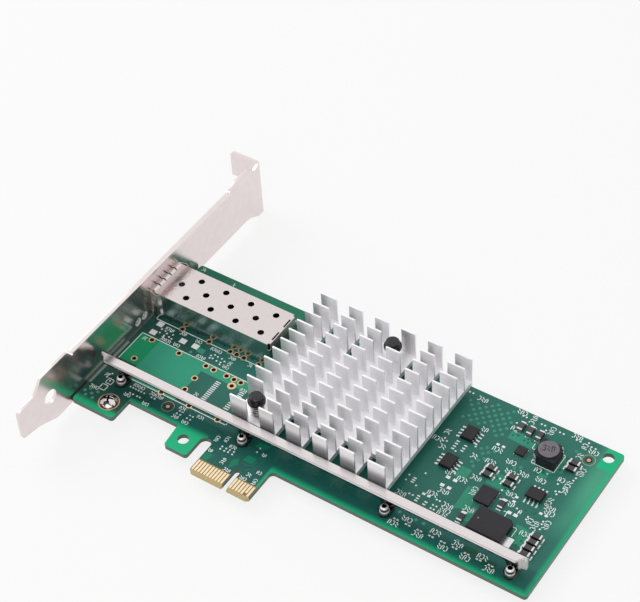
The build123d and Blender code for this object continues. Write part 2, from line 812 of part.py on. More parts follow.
with BuildPart() as soic_leads:
    with Locations(*soic_locations):
        add(single_lead_set.part)
soic_leads.part.label = "soic_leads"
export_step(soic_leads.part, "parts/soic_leads.step")

# Leadless packages on metal pads
with BuildPart() as leadless_packages:
    for place, length, width, high in (
        (qfn_place, qfn_size, qfn_size, qfn_high), (dfn_place, dfn_length, dfn_width, dfn_high),
    ):
        with BuildSketch(Plane.XY.offset(pad_thick)):
            with Locations(place):
                Rectangle(length, width)
        extrude(amount=high - pad_thick)
leadless_packages.part.label = "leadless_packages"
export_step(leadless_packages.part, "parts/leadless_packages.step")
with BuildPart() as leadless_pads:
    with BuildSketch(Plane.XY):
        for place, length, width in (
            (qfn_place, qfn_size, qfn_size), (dfn_place, dfn_length, dfn_width),
        ):
            with Locations(place):
                Rectangle(length + 2 * pad_thick, width + 2 * pad_thick)
    extrude(amount=pad_thick)
leadless_pads.part.label = "leadless_pads"
export_step(leadless_pads.part, "parts/leadless_pads.step")

# Power package with its metal tab
with BuildPart() as power_package:
    with BuildSketch(Plane.XY.offset(power_tab_thick)):
        with BuildLine():
            Polyline(
                (power_left, power_low_y), (power_right, power_low_y),
                (power_right, power_high_y - power_chamfer), (power_right - power_chamfer, power_high_y),
                (power_left, power_high_y), close=True,
            )
        make_face()
    extrude(amount=power_high - power_tab_thick)
    chamfer(power_package.faces().sort_by(Axis.Z)[-1].edges(), length=0.15)
power_package.part.label = "power_package"
export_step(power_package.part, "parts/power_package.step")
with BuildPart() as power_package_tab:
    with BuildSketch(Plane.XY):
        Polygon(
            (power_left + power_chamfer, power_tab_low_y), (power_tab_right, power_tab_low_y),
            (power_tab_right, power_tab_high_y), (power_right - power_chamfer, power_tab_high_y),
            (power_right - power_chamfer, power_high_y - power_chamfer),
            (power_left + power_chamfer, power_high_y - power_chamfer), align=None,
        )
    extrude(amount=power_tab_thick)
power_package_tab.part.label = "power_package_tab"
export_step(power_package_tab.part, "parts/power_package_tab.step")

# Inductor, a square ferrite body with a round core on top
coil_half = coil_size / 2
cut_half = coil_half - coil_chamfer
with BuildPart() as inductor_core:
    with BuildSketch(Plane.XY.offset(coil_low)):
        with Locations((coil_x, coil_y)):
            Polygon(
                (-coil_half, -cut_half), (-cut_half, -coil_half), (coil_half, -coil_half),
                (coil_half, cut_half), (cut_half, coil_half), (-coil_half, coil_half), align=None,
            )
    extrude(amount=coil_shoulder - coil_low)
    with BuildSketch(Plane.XY.offset(coil_shoulder)):
        with Locations((coil_x, coil_y)):
            Circle(coil_disc_radius)
    extrude(amount=coil_top - coil_shoulder)
inductor_core.part.label = "inductor_core"
export_step(inductor_core.part, "parts/inductor_core.step")
corner_reach = (coil_half + cut_half) / 2
with BuildPart() as inductor_terminals:
    for side in (-1, 1):
        strip_plane = Plane(
            origin=(coil_x + side * corner_reach, coil_y + side * corner_reach, 0),
            x_dir=(-1, 1, 0), z_dir=(0, 0, 1),
        )
        with BuildSketch(strip_plane):
            with Locations((0, -side * coil_terminal_thick / 2)):
                Rectangle(coil_terminal_width, coil_terminal_thick)
        extrude(amount=coil_terminal_high)
inductor_terminals.part.label = "inductor_terminals"
export_step(inductor_terminals.part, "parts/inductor_terminals.step")

# Chip capacitors and resistors, ceramic blocks with metal ends
end_shift = (chip_length - chip_end) / 2
middle_length = chip_length - 2 * chip_end
for group, places, high in (
    ("capacitor", capacitor_places, capacitor_high), ("resistor", resistor_places, resistor_high),
):
    chip_locations = turned_places(places)
    with BuildPart() as chip_bodies:
        with Locations(*chip_locations):
            Box(
                middle_length, chip_width - pad_thick / 2, high - pad_thick,
                align=(Align.CENTER, Align.CENTER, Align.MIN),
            )
    chip_bodies.part.label = group + "_bodies"
    export_step(chip_bodies.part, "parts/" + group + "_bodies.step")
    with BuildPart() as chip_ends:
        with Locations(*chip_locations):
            with Locations((-end_shift, 0, 0), (end_shift, 0, 0)):
                Box(chip_end, chip_width, high, align=(Align.CENTER, Align.CENTER, Align.MIN))
    chip_ends.part.label = group + "_terminals"
    export_step(chip_ends.part, "parts/" + group + "_terminals.step")
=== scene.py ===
"""Looks of a network interface card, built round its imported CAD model."""

import bmesh
import bpy
import numpy as np
from mathutils import Color, Matrix, Vector


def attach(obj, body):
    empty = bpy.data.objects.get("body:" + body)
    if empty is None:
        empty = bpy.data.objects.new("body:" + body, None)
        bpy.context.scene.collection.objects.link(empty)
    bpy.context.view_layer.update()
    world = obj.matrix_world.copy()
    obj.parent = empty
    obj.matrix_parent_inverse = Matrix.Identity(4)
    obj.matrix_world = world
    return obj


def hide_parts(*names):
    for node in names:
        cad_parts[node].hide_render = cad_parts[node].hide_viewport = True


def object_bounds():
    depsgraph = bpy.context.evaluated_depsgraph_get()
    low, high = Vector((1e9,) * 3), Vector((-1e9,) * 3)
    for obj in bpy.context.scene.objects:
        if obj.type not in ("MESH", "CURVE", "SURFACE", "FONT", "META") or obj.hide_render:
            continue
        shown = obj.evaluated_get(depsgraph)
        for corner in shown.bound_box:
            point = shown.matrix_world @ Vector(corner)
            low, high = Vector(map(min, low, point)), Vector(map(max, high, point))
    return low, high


bl_info = {
    "name": "Network interface card looks",
    "version": (2, 0, 0),
    "blender": (4, 5, 0),
    "location": "View3D > Sidebar > Card",
    "description": "Materials, printed marks, solder and stage for a network interface card",
    "category": "Object",
}

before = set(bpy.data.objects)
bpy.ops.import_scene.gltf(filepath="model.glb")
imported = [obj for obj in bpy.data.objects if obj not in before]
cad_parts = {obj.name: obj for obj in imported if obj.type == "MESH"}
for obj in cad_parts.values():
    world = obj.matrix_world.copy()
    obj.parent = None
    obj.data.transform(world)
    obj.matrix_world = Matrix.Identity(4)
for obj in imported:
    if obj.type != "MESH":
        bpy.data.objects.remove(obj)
CAD_BOX = [list(corner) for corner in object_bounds()]
MM = 0.001
BODY = "root"
BOARD_THICK = 1.57


def places(*values):
    """Rows of x and y in millimetres, from values in tenths of a millimetre."""
    return np.reshape(values, (-1, 2)) / 10


def polylines(*rows):
    """Corners in millimetres of each line or outline, from rows in tenths of a millimetre."""
    return [places(*row) for row in rows]


def mark_rows(*values):
    """Rows of x and y in millimetres, from tenths, each with a number of marks."""
    return np.reshape(values, (-1, 3)) / (10, 10, 1)


# Printed and plated features of the component face in tenths of a millimetre, outlines counterclockwise
MARKS_ACROSS = mark_rows(
    455, 663, 3, 577, 679, 3, 587, 615, 2, 755, 680, 3, 820, 653, 3, 791, 519, 2, 817, 487, 2, 742, 487, 3,
    718, 515, 2, 691, 481, 3, 655, 469, 3, 591, 473, 3, 585, 401, 3, 640, 501, 3, 585, 522, 3, 540, 467, 2,
    517, 567, 2, 419, 469, 3, 446, 450, 2, 508, 379, 2, 555, 376, 3, 532, 313, 3, 697, 401, 3, 510, 290, 3,
    568, 275, 3, 570, 258, 3, 569, 244, 3, 623, 295, 3, 714, 371, 2, 748, 360, 1, 812, 415, 3, 818, 399, 3,
    797, 301, 3, 659, 176, 3, 697, 148, 3, 738, 175, 3, 772, 147, 3, 629, 146, 3, 588, 180, 3, 549, 147, 3,
    497, 177, 3, 471, 146, 3, 434, 246, 3,
)
MARKS_UP = mark_rows(
    618, 671, 3, 683, 661, 3, 789, 660, 2, 793, 621, 2, 827, 571, 3, 815, 511, 3, 430, 506, 2, 603, 358, 3,
    787, 347, 2, 806, 340, 3, 832, 359, 3, 799, 432, 3,
)
TOP_MARKS = mark_rows(-559, 676, 2, -439, 670, 1)
SMALL_MARKS_ACROSS = mark_rows(
    -549, 111, 4, -446, 136, 3, -434, 180, 5, -369, 179, 6, -379, 136, 3, -273, 179, 3, -274, 142, 3, -237,
    139, 3, -208, 178, 3, -272, 244, 2, -111, 93, 2, -62, 136, 3, -29, 59, 3, 31, 158, 2, 56, 98, 2, 35, 77,
    2, 28, 58, 3, -496, 414, 4, -450, 421, 3, -391, 418, 3, -324, 417, 5, -264, 416, 3, -261, 376, 3, -348,
    371, 4, -481, 372, 5, -441, 373, 3, -161, 328, 3, -202, 420, 2,
)
SMALL_MARKS_UP = mark_rows(
    -546, 170, 2, -120, 138, 3, -94, 152, 3, -57, 80, 3, 63, 64, 3, -258, 391, 3, -540, 345, 2,
)
INK_LINES = polylines(
    (-140, 361, -560, 361, -560, 243), (-492, 192.2, -128.5, 192.2, -128.5, 204),
    (-187, 430, -559, 430, -561, 452), (687, 553, 687, 530, 760, 530, 760, 601, 748, 601),
    (732, 623, 741, 623, 741, 609), (758, 306, 770, 306, 770, 276), (665, 595, 665, 576, 674, 576),
    (-535, 114, -515, 114, -515, 135, -535, 135, -535, 114),
    (-532, 142, -512, 142, -512, 161, -532, 161, -532, 142), (709, 341, 719, 341, 719, 296),
)
GREY_LINES = polylines((-561, 453, -183, 450))
BIG_PADS = places(517, 363, 540, 363, 517, 331, 539, 331, 724, 344, 743, 344)
MID_PADS = places(490, 277, 506, 277, 576, 539, 594, 539, 716, 384, 715, 401, 799, 386, 816, 386)
SQUARE_PADS = places(-534, 417, -533, 379, -433, 396, -388, 398)
SMALL_PADS = places(
    420, 314, 421, 294, 456, 342, 456, 291, 455, 257, 466, 257, 532, 257, 543, 257, 532, 244, 542, 244, 531,
    278, 541, 278, 407, 669, 419, 669, 585, 669, 596, 669, 645, 669, 656, 669, 704, 669, 716, 669, 758, 669,
    770, 669, 806, 667, 819, 667, 793, 677, 582, 636, 667, 655, 486, 455, 526, 499, 526, 384, 436, 481, 446,
    474, 436, 470, 747, 517, 788, 515, 789, 501, 796, 475, 805, 479, 803, 467, 822, 545, 820, 534, 680, 372,
    668, 401, 643, 434, 735, 367, 746, 360, 775, 357, 775, 347, 823, 337, 818, 365, 819, 355, -457, 167,
    -447, 167, -437, 167, -427, 167, -417, 167, -406, 167, -417, 147, -407, 147, -443, 147, -432, 147, -378,
    166, -367, 166, -275, 167, -265, 167, -277, 155, -265, 155, -239, 168, -229, 168, -241, 155, -229, 155,
    -90, 122, -76, 122, -90, 112, -76, 112, -64, 114, -64, 123, -50, 123, -49, 113, 7, 173, 7, 157, -518,
    403, -504, 402, -515, 388, -494, 396, -490, 408, -497, 385, -480, 388, -475, 401, -469, 385, -495, 379,
    -326, 392, -317, 400, -315, 385, -305, 398, -290, 398, -299, 383, -285, 384, -283, 376, -277, 393, -324,
    382, -541, 161, -528, 161, -540, 173, -535, 180, -523, 153,
)
STACKED_PADS = places(
    440, 312, 440, 304, 440, 296, 482, 263, 483, 254, 483, 245, 510, 255, 509, 245, 474, 490, 474, 480, 474,
    469, 474, 459, 501, 486, 501, 475, 501, 465,
)
PALE_VIAS = places(
    -565, 87, -554, 100, -553, 74, -540, 87, -527, 100, -527, 74, 425, 642, 451, 643, 437, 629, 464, 629,
    451, 616, 477, 642, 477, 616, 490, 655, 503, 668, 490, 629, 503, 642, 515, 655, 451, 590, 464, 603, 438,
    577, 516, 629, 503, 616, 490, 603, 477, 590, 464, 577, 529, 642, 542, 655, 555, 668, 542, 629, 555, 642,
    529, 616, 516, 603, 503, 590, 490, 577, 555, 616, 568, 629, 542, 603, 529, 590, 568, 603, 555, 590, 542,
    577, 568, 577, 555, 564, 543, 501, 556, 513, 556, 487, 568, 499, 581, 511, 569, 473, 557, 460, 545, 446,
    556, 434, 556, 409, 544, 396, 659, 487, 672, 499, 777, 631, 466, 188, 519, 188, 543, 188, 653, 188,
    -387, 372,
)
DARK_VIAS = places(
    595, 591, 608, 597, 632, 590, 640, 599, 646, 587, 653, 598, 783, 255, 794, 257, 779, 272, 799, 276, 780,
    292, 797, 291, 789, 239, 773, 567, 770, 548, 757, 549, 635, 432, 653, 422, 673, 409,
)
RINGED_HOLES = places(
    -517, 351, -414, 349.5, -314, 350, -285, 349, -238, 349, -211, 349, -186, 349, -517, 263, -314, 293, -313,
    242, -202, 325, -465, 435, -364, 435, -286, 435, -262, 435, -236, 435, -183, 435, -365, 196.5, -264, 197,
    -161, 197,
)
TRACES = polylines(
    (69, 159, 65, 175, 72, 181, 96, 181, 103, 191), (108, 163, 117, 175, 141, 193),
    (152, 167, 169, 184, 178, 201), (191, 173, 206, 187), (256, 160, 251, 175, 255, 191),
    (292, 156, 289, 169, 294, 183, 304, 192), (749, 383, 759, 374, 783, 373, 786, 380, 785, 396),
    (751, 319, 772, 340), (424, 332, 474, 332, 474, 273, 424, 273, 424, 332), (698, 416, 702, 465),
    (705, 420, 710, 461), (-157, 154, -140, 171, -128, 193), (-90, 54, -92, 93, -86, 114),
    (-75, 54, -76, 86, -62, 107), (15, 54, 15, 80, 28, 102, 26, 135, 29, 150), (35, 54, 36, 120, 45, 147),
    (-4, 104, 21, 102, 21, 136), (410, 580, 437, 556, 457, 529),
)
PALE_PATCHES = polylines(
    (586, 603, 586, 575, 622, 573, 661, 571, 676, 580, 654, 601, 609, 613),
    (741, 514, 767, 530, 736, 570, 708, 574), (583, 278, 625, 294, 618, 367, 580, 367),
    (626, 255, 654, 255, 651, 309, 629, 310), (562, 379, 561, 420, 529, 418, 525, 377),
    (615, 399, 691, 400, 688, 427, 643, 450, 608, 449), (769, 258, 810, 256, 803, 318, 761, 321),
    (728, 491, 742, 489, 756, 510, 728, 511), (753, 533, 782, 538, 769, 590, 746, 593),
    (830, 287, 855, 287, 851, 320, 826, 321), (-376, 384, -350, 382, -351, 401, -376, 400),
)
RICH_PATCHES = polylines(
    (-31, 66, -14, 90, -24, 112, -38, 96), (-11, 112, 17, 112, 21, 136, -7, 136),
    (-11, 173, 19, 169, 30, 194, -5, 189), (-117, 56, -99, 54, -95, 83, -116, 83),
)
DARK_PATCHES = polylines(
    (677, 169, 721, 169, 723, 186, 677, 186), (725, 152, 783, 153, 784, 177, 725, 172),
)

# Places of targets and small parts in millimetres, with the angle in degrees where there is one
FIDUCIALS = ((82.18, 62.09), (-31.53, 16.23))
CHIP_PLACES = (
    (60.35, 62.6, 90), (63.4, 62.5, 90), (66.45, 62.4, 90), (60.7, 45, 0), (60.7, 42.45, 0),
    (67.3, 45.15, 0), (67.3, 42.45, 0), (79.6, 58.6, 0), (79.6, 56.3, 0), (83, 30.6, 0), (83, 28.35, 0),
    (83, 26.1, 0), (83, 23.85, 0), (69.3, 35.7, 90), (61.95, 26.1, 90),
)
SOIC_PLACES = ((49.2, 52.6, 0), (49.2, 40.7, 0), (75.8, 43, 90))
INDUCTOR_MARKS = (72.2, 56.7)
PIN_PLACES = ((-4.95, 24.75), (17, 62.8))

# Strokes of the plain marks, in shares of a mark's height from its middle
MARK_STROKES = (
    (((0.2, -0.5), (0.2, 0.5)), ((-0.2, 0.5), (0.2, 0.5)), ((-0.2, -0.5), (0.2, -0.5))),
    (((-0.2, -0.1), (0.2, -0.5)), ((-0.2, 0.5), (0.2, 0.1))),
    (((-0.2, -0.5), (-0.2, 0.5)), ((-0.2, 0.5), (0.2, 0.5)), ((0.2, 0.5), (0.2, -0.3))),
)

# Soft edges of the board's tones along x and y: where each starts and where it is full, in millimetres
BRACKET_SHADE = (-44, -20)
# OPEN_FIELD: where the painted shade near the bracket and below the rail gives way to the plain mask
OPEN_FIELD = ((-46, -18), (19.5, 22))
BEHIND_CAGE = ((8, -12), (58.8, 60.2))
# Painted light: where the mask turns lighter towards the right edge, and the noise range over which it comes
# in patches
LIT_EDGE_ZONE = ((81.5, 87.5), (30, 42))
LIT_EDGE_DRIFT = (100, 700)
OUTER_RIM = (7.6, 9.8)
NEAR_RIM = (14, 12.2)
NEAR_RIM_SHARE = 0.72
RIGHT_RIM = (88.2, 89.7)
RIGHT_RIM_SHARE = 0.7
HOOK_LEFT = (-27, -25)
HOOK_TAB = ((-14, -15.8), (13.6, 11.6))
SCREW_TAB = ((-41, -42.5), (7.4, 4.9))
TONGUE_RIM = ((7, 7.9), (14.5, 12))
FAR_CORNER = ((84.8, 85.2), (60.6, 61.6))
EDGE_SOFT = 0.05

# Toned areas: low x, low y, high x and high y
FOOTPRINT_PALE = ((-49.3, 19, -31.4, 36), (-31.5, 32.6, -14, 36))
FOOTPRINT_RICH = (-56, 24.3, -49.3, 36)
MIDDLE_RIM = (-42.9, 0, -14.6, 20)
BARE_TONGUE = (-13, -1, 9, 5.3)
TONGUE_TIP = (-13, -1, 9, 1)
CAGE_INSIDE = (-64, 44.75, -14.55, 58.7)

# Soft edges on the other nodes, along z unless x or y is named
# RAIL_WEB_TOP, RAIL_EDGE and RAIL_FEET_TOP bound the painted dark reflections on the rail
RAIL_WEB_TOP = (6.7, 6.2)
RAIL_EDGE = (6, 6.5)
RAIL_FEET_TOP = (2.2, 1.4)
RAIL_END = (84.6, 84)
# CAGE_NEAR_SIDE and CAGE_ROOF bound the painted reflection on the near walls and the painted shade inside the
# cage
CAGE_NEAR_SIDE = (45.4, 44.9)
CAGE_ROOF = (9.5, 9.4)
# SCREW_BAND bounds the painted shade round the rail screws' heads
SCREW_BAND = ((1.35, 1.5), (2.6, 2.3))
# NEAR_FINS, FIN_BAND and FIN_BAND_SHARE place and weigh the painted reflection on the nearest fins
NEAR_FINS = (21.5, 21)
FIN_BAND = ((5.5, 8.8), (12.2, 9.6))
FIN_BAND_SHARE = 0.55
# FERRITE_TOP: where the inductor's painted shade on the sides gives way to the top face
FERRITE_TOP = (4.38, 4.46)

# Screws, holes and rings: places, and pairs of an outer and an inner radius
BRACKET_SCREW = (-47.5, 8.6)
CROSS_ARM = (1.45, 0.3)
CROSS_ANGLE = 25.0
SCREW_RING = (3.27, 2.95)
# Painted shadow: a brown ring on the copper next to the bracket screw's head
SCREW_SHADOW_RING = (2.95, 1.9)
HOLE_RING = (1.02, 0.7)
HOLE_LIP = (0.7, 0.5)
HOLE_LINING = (0.5, 0.42)
LINING_LOW = -BOARD_THICK - 0.02
BIG_HOLE = slice(10, 11)
BIG_RING = (1.35, 1.02)
TARGET_RING = (1.95, 1.85)
TARGET_GAP = (1.06, 0.62)
PLATE_FACE = -59.0
LIGHT_PIPES = ((37.25, 2.35), (40.45, 2.35))
PIPE_OVAL = (1.3, 0.8)
PIPE_RIM = (0.8, 0.55)
PIPE_DEPTH = 0.4
PIPE_STEP = 0.02

# Pads: groups with length and width, columns with x, low y, high y and count, and a row with left x,
# right x, y and count
PAD_GROUPS = (
    (BIG_PADS, 1.25, 1), (MID_PADS, 0.95, 0.75), (SQUARE_PADS, 2.2, 1.9), (STACKED_PADS, 0.95, 0.42),
)
SMALL_PAD_RADIUS = 0.3
COMBS = ((-24.35, 24, 31.6, 11), (-15.95, 29.6, 31.8, 4), (-16.45, 23.5, 26.8, 5))
COMB_PAD = (1.7, 0.34)
PAD_ROW = (46.6, 76.5, 16.15, 9)
PAD_ROW_SHIFT = 1.05
ROW_PAD = (0.7, 0.5)
CHIP_JOINT = 2.0
JOINT_PAD = (0.45, 1.5)
LEAD_ROW = 2.95
LEAD_PITCH = 1.27
LEAD_PAD = (1.0, 0.5)
DARK_VIA_RADIUS = 0.3
PALE_VIA_RADIUS = 0.52
SPOT_RISE = 0.004
TRACE_WIDTH = 0.22
# A grey strip along the board's left edge beside the bracket: its centre and its sizes along x and y
EDGE_STRIP = ([(-57.35, 21.5)], 0.8, 19.0)

# Painted shade strips over the gaps of the spring collar, print on the inductor and the package, and spring
# wire
COLLAR_SLOPE = ((-58.1, 9.87), (-57.4, 10.28), (-57.1, 10.28), (-56.5, 9.83))
COLLAR_SIDES = (45.0, 58.45)
SLIT_HALF = 0.21
SLIT_DEPTH = 0.02
INDUCTOR_PRINT = (1.7, 18, 0.28)
INDUCTOR_TOP = 4.5
POWER_DOT = (66.84, 26.89)
POWER_TOP = 2.2
DOT_RADIUS = 0.28
PRINT_THICK = 0.015
SPRING_LOW = 5.0
SPRING_HIGH = 9.65
SPRING_RADIUS = 1.85
SPRING_TURNS = 4.5
SPRING_STEPS = 40
WIRE_RADIUS = 0.2
WIRE_SIDES = 10

# Orders of axes that lay a flat prism on the bracket's plate or on the collar's side
TO_PLATE = [2, 0, 1]
TO_SIDE = [0, 2, 1]

# Print, surfaces and rounding
METAL_GRAIN = 0.00002
MOULD_GRAIN = 0.00003
MARK_PITCH = 0.76
FINE_LINE = 0.85
FINE_ROUND = 0.6
WELD = 1e-6
FLAT_ANGLE = 1.0
ROUND_ANGLE = 50.0
TURNED_ANGLE = 40.0
WIRE_ANGLE = 60.0
MASK_ROUGH = (0.24, 0.4)
UPRIGHT_BELOW = 0.5
SLANTED = (0.3, 0.95)
TURNED_PARTS = (
    ("rail_screws", "rail_screw_heads", "screw_steel"),
    ("bracket_screw", "bracket_screw_head", "screw_steel"),
    ("push_pins", "push_pin_heads", "pin_plastic"),
)
SMALL_PARTS = (
    ("soic_bodies", "soic_mouldings", "package_black"),
    ("leadless_packages", "leadless_mouldings", "package_black"),
    ("inductor_core", "inductor_ferrite", "ferrite"),
    ("capacitor_bodies", "capacitor_blocks", "capacitor_ceramic"),
    ("capacitor_terminals", "capacitor_caps", "lead_tin"),
    ("resistor_terminals", "resistor_caps", "lead_tin"),
)

# Stage, in metres: each lamp with its place and size, and the camera's place and right, down and ahead
FLOOR_GAP = 0.00005
FLOOR_COLOUR = (0.8, 0.8, 0.8)
FLOOR_GLOW = 0.8
KEY_LAMP = ((-0.75, 0.1, 0.62), 0.5)
FILL_LAMP = ((0.35, -0.75, 0.55), 0.6)
LAMP_TARGET = (0.015, 0.04, 0.0)
CAMERA_PLACE = (0.22339402288, -0.25169640253, 0.4155692192)
CAMERA_AXES = (
    (0.8314822348, 0.5536277043, -0.0461915384), (0.3701259279, -0.6140469644, -0.6971033805),
    (-0.4142995181, 0.5625323907, -0.7154811100),
)
SENSOR = 36.0
CLIP = (0.01, 20.0)


def linear(red, green, blue):
    """Display colour, 0 to 255 a channel, as the linear colour that shaders take."""
    share = np.array((red, green, blue)) / 255.0
    curve = np.where(share <= 0.04045, share / 12.92, ((share + 0.055) / 1.055) ** 2.4)
    return tuple(float(v) for v in curve)


def colour_property(name, description, rgb):
    return bpy.props.FloatVectorProperty(
        name=name, description=description, default=linear(*rgb), subtype="COLOR",
        size=3, min=0.0, max=1.0,
    )


def number_property(name, description, value, **more):
    return bpy.props.FloatProperty(name=name, description=description, default=value, min=0.0, **more)


def length_property(name, description, millimetres):
    return number_property(name, description, millimetres * MM, unit="LENGTH")


def share_property(name, description, value):
    return number_property(name, description, value, max=1.0, subtype="FACTOR")


class CardBoardSettings(bpy.types.PropertyGroup):
    """Colours of the board and what lies on it."""

    mask: colour_property("Mask", "Solder mask over the inner copper", (48, 115, 102))
    # Painted shade: the mask is darker near the bracket and along the near edge
    mask_deep: colour_property("Deep mask", "Mask near the bracket and the near edge", (24, 78, 68))
    # Painted shade: the mask is darker in the strip below the rail, where the rail shades the board
    mask_strip: colour_property("Strip", "Mask below the rail", (32, 98, 90))
    mask_top: colour_property("Top strip", "Mask behind the cage", (34, 124, 98))
    mask_rim: colour_property("Rim", "Mask over bare laminate at the rim", (30, 184, 130))
    # Painted light: the mask is lighter in patches towards the right edge
    mask_lit_edge: colour_property("Lit", "Mask at the rubbed right edge", (72, 160, 130))
    patch_pale: colour_property("Pale patch", "Mask over a copper area", (52, 163, 130))
    patch_rich: colour_property("Rich patch", "Mask over bare laminate inside the board", (4, 152, 100))
    laminate: colour_property("Laminate", "Bare tongue between the contacts", (150, 128, 84))
    bevel: colour_property("Bevel", "Chamfered tip of the tongue", (192, 172, 124))
    side: colour_property("Side", "Cut side of the board", (88, 110, 98))
    ink: colour_property("Ink", "Printed marks", (236, 246, 242))
    copper: colour_property("Copper", "Bare plated rings", (226, 190, 150))
    gloss: share_property("Gloss", "Mirror share of the mask", 0.22)


class CardReliefSettings(bpy.types.PropertyGroup):
    """Heights of the thin layers on the component face."""

    patch: length_property("Patch", "Top of a patch under the mask", 0.008)
    trace: length_property("Trace", "Top of a trace under the mask", 0.012)
    ring: length_property("Ring", "Top of a plated ring or pad", 0.03)
    ink: length_property("Ink", "Top of the printed marks", 0.02)
    mark: length_property("Mark", "Height of a large printed mark", 1.5)
    small_mark: length_property("Small mark", "Height of a small printed mark", 1.05)
    line: length_property("Line", "Width of a printed line", 0.25)


class CardMetalSettings(bpy.types.PropertyGroup):
    """Finish of the sheet metal parts and the heat sink."""

    bracket: colour_property("Bracket", "Bright plated bracket", (231, 220, 219))
    cage: colour_property("Cage", "Sheet of the module cage", (219, 210, 209))
    rail: colour_property("Rail", "Plated stiffening rail", (226, 219, 219))
    aluminium: colour_property("Aluminium", "Heat sink", (246, 245, 247))
    tin: colour_property("Tin", "Leads, pads and chip ends", (226, 228, 228))
    edge_round: length_property("Edge round", "Rounding of sheet edges", 0.12)
    polish: share_property("Polish", "Roughness of the bright sheet", 0.2)


class CardStageSettings(bpy.types.PropertyGroup):
    """Floor, lamps and camera."""

    floor_size: number_property("Floor", "Side of the floor", 6.0, unit="LENGTH")
    lens: number_property("Lens", "Focal length in millimetres", 106.609)
    key: number_property("Key", "Power of the main lamp", 3.0, unit="POWER")
    fill: number_property("Fill", "Power of the second lamp", 1.6, unit="POWER")
    sky: number_property("Sky", "Strength of the soft light", 0.72)


class Tree:
    """A node tree, with short calls that add and join nodes."""

    def __init__(self, owner):
        owner.use_nodes = True
        self.tree = owner.node_tree

    def add(self, kind, **values):
        node = self.tree.nodes.new(kind)
        for key, value in values.items():
            setattr(node, key, value)
        return node

    def join(self, start, end):
        """Link a socket, or write a plain value or colour."""
        if isinstance(start, bpy.types.NodeSocket):
            self.tree.links.new(start, end)
        elif isinstance(start, (tuple, Color)):
            end.default_value = (*start, 1.0)
        else:
            end.default_value = start

    def math(self, operation, *values):
        """Fold two or more values with one operation."""
        total = values[0]
        for value in values[1:]:
            node = self.add("ShaderNodeMath", operation=operation)
            self.join(total, node.inputs[0])
            self.join(value, node.inputs[1])
            total = node.outputs[0]
        return total

    def span(self, factor, low, high):
        """Map a 0 to 1 value onto a range."""
        node = self.add("ShaderNodeMapRange")
        self.join(low, node.inputs["To Min"])
        self.join(high, node.inputs["To Max"])
        self.join(factor, node.inputs["Value"])
        return node.outputs["Result"]

    def seen_by_eye(self):
        """1 for rays from the camera and off or through glossy surfaces."""
        path = self.add("ShaderNodeLightPath").outputs
        return self.math("MAXIMUM", path["Is Camera Ray"], path["Is Glossy Ray"], path["Is Transmission Ray"])


